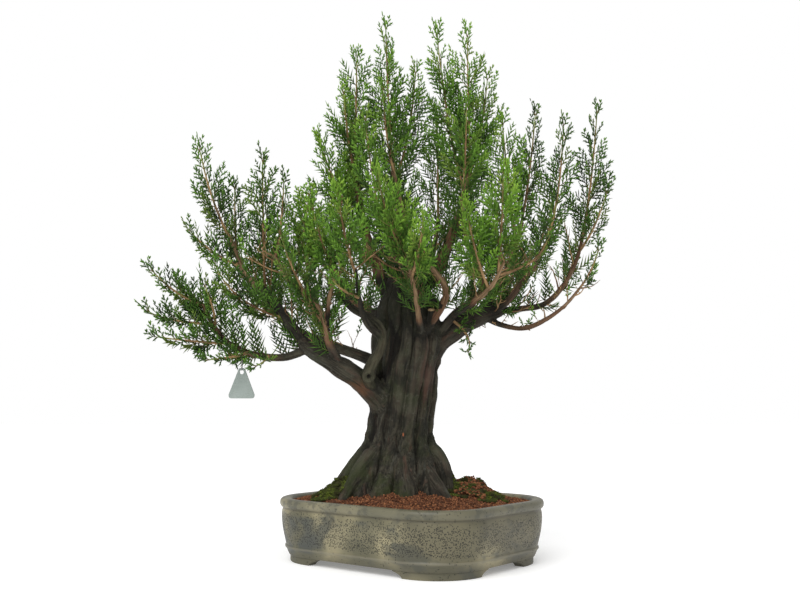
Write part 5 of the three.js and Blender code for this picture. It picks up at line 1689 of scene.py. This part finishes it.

# %% [markdown]
# Leaf colour follows age: brown at the foot of a stem, deep blue-green on the old inner
# leaves, fresh yellow-green at the tips. Whole plumes at the edges of the crown and low down
# are also painted darker, as shade. A fine bump of overlapping scales roughens the fingers.

# %% Leaf colours
leaf = Finish("scale_leaves", Specular_IOR_Level=0.3)
where = leaf.object_place()
youth = leaf.attribute("youth")
tone = leaf.attribute("tone")
woody = leaf.attribute("woody")
mottle = leaf.noise(where, 45.0, detail=3.0)
scales = leaf.cells(where, 900.0)
ripe = youth * 0.75 + (mottle - 0.5) * 0.5 + (tone - 0.5) * 0.28 + 0.12
leaf_stops = [(0.0, (0.019, 0.043, 0.007)), (0.35, (0.078, 0.182, 0.018)), (0.7, (0.172, 0.352, 0.031)),
              (1.0, (0.312, 0.510, 0.052))]
green = leaf.add("ShaderNodeValToRGB", {"stops": leaf_stops}, {0: ripe})
green = leaf.mix(tone.ramp(0.80, 0.97) * 0.35, green, (0.200, 0.190, 0.050))
stem_colour = leaf.mix(mottle.ramp(0.35, 0.65), (0.165, 0.095, 0.042), (0.380, 0.238, 0.110))
green = leaf.mix(woody.ramp(0.25, 0.8), green, stem_colour)
leaf.wear(green, 0.62 + mottle * 0.2, scales, depth=0.0004)

leaf_faces = 0
for number, heap in plumes.items():
    plume = heap.piece(f"plume_{number:02d}")
    set_points(plume, points_of(plume) * MM + np.array(POT_MIDDLE))
    leaf_faces += len(plume.data.polygons)
    finish_piece(plume, f"leaves_{number:02d}", leaf.material, [f"leafy_shoot_{number:02d}"])
print("leaves in all:", leaf_faces, "faces")

# %% [markdown]
# ## The tag
#
# A small tag of milky plastic hangs on a wire loop from the low left twig. It is punched
# out of a sheet, so its edges are only just rounded. Its face is bare. The wire is drawn
# round, so the solid's loop is rounded by subdivision.

# %% Tag and wire
tag = copy_of_solid("tag")
use_modifier(tag, "BEVEL", width=0.4 * MM, segments=2, limit_method="ANGLE", angle_limit=math.radians(40))
hold(tag)
bpy.ops.object.shade_smooth_by_angle(angle=math.radians(35))
milky = Finish("milky_plastic", IOR=1.46)
where = milky.object_place()
haze = milky.noise(where, 60.0, detail=3.0)
scuffs = milky.noise(milky.stretch(where, (1.0, 1.0, 4.0)), 220.0, detail=3.0)
milk = milky.mix(haze, (0.23, 0.275, 0.25), (0.32, 0.365, 0.34))
milk = milky.mix(scuffs.ramp(0.58, 0.72) * 0.35, milk, (0.30, 0.31, 0.28))
milky.wear(milk, 0.36 + scuffs * 0.25, scuffs, depth=0.0002)
finish_piece(tag, "tag_milky", milky.material, ["tag"])

wire = copy_of_solid("tag_wire")
use_modifier(wire, "SUBSURF", levels=1, render_levels=1)
hold(wire)
bpy.ops.object.shade_smooth()
steel = Finish("dull_wire", Metallic=0.85)
where = steel.object_place()
tarnish = steel.noise(where, 300.0, detail=3.0)
dull = steel.mix(tarnish, (0.16, 0.16, 0.15), (0.36, 0.35, 0.32))
steel.wear(dull, 0.35 + tarnish * 0.3, tarnish, depth=0.0001)
finish_piece(wire, "wire_loop", steel.material, ["tag_wire"])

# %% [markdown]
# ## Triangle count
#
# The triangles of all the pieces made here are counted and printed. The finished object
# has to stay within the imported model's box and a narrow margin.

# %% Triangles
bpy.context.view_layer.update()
made = [piece for piece in bpy.data.objects if piece.type == "MESH" and piece.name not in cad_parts]
print("triangles:", sum(len(piece.data.loops) - 2 * len(piece.data.polygons) for piece in made))
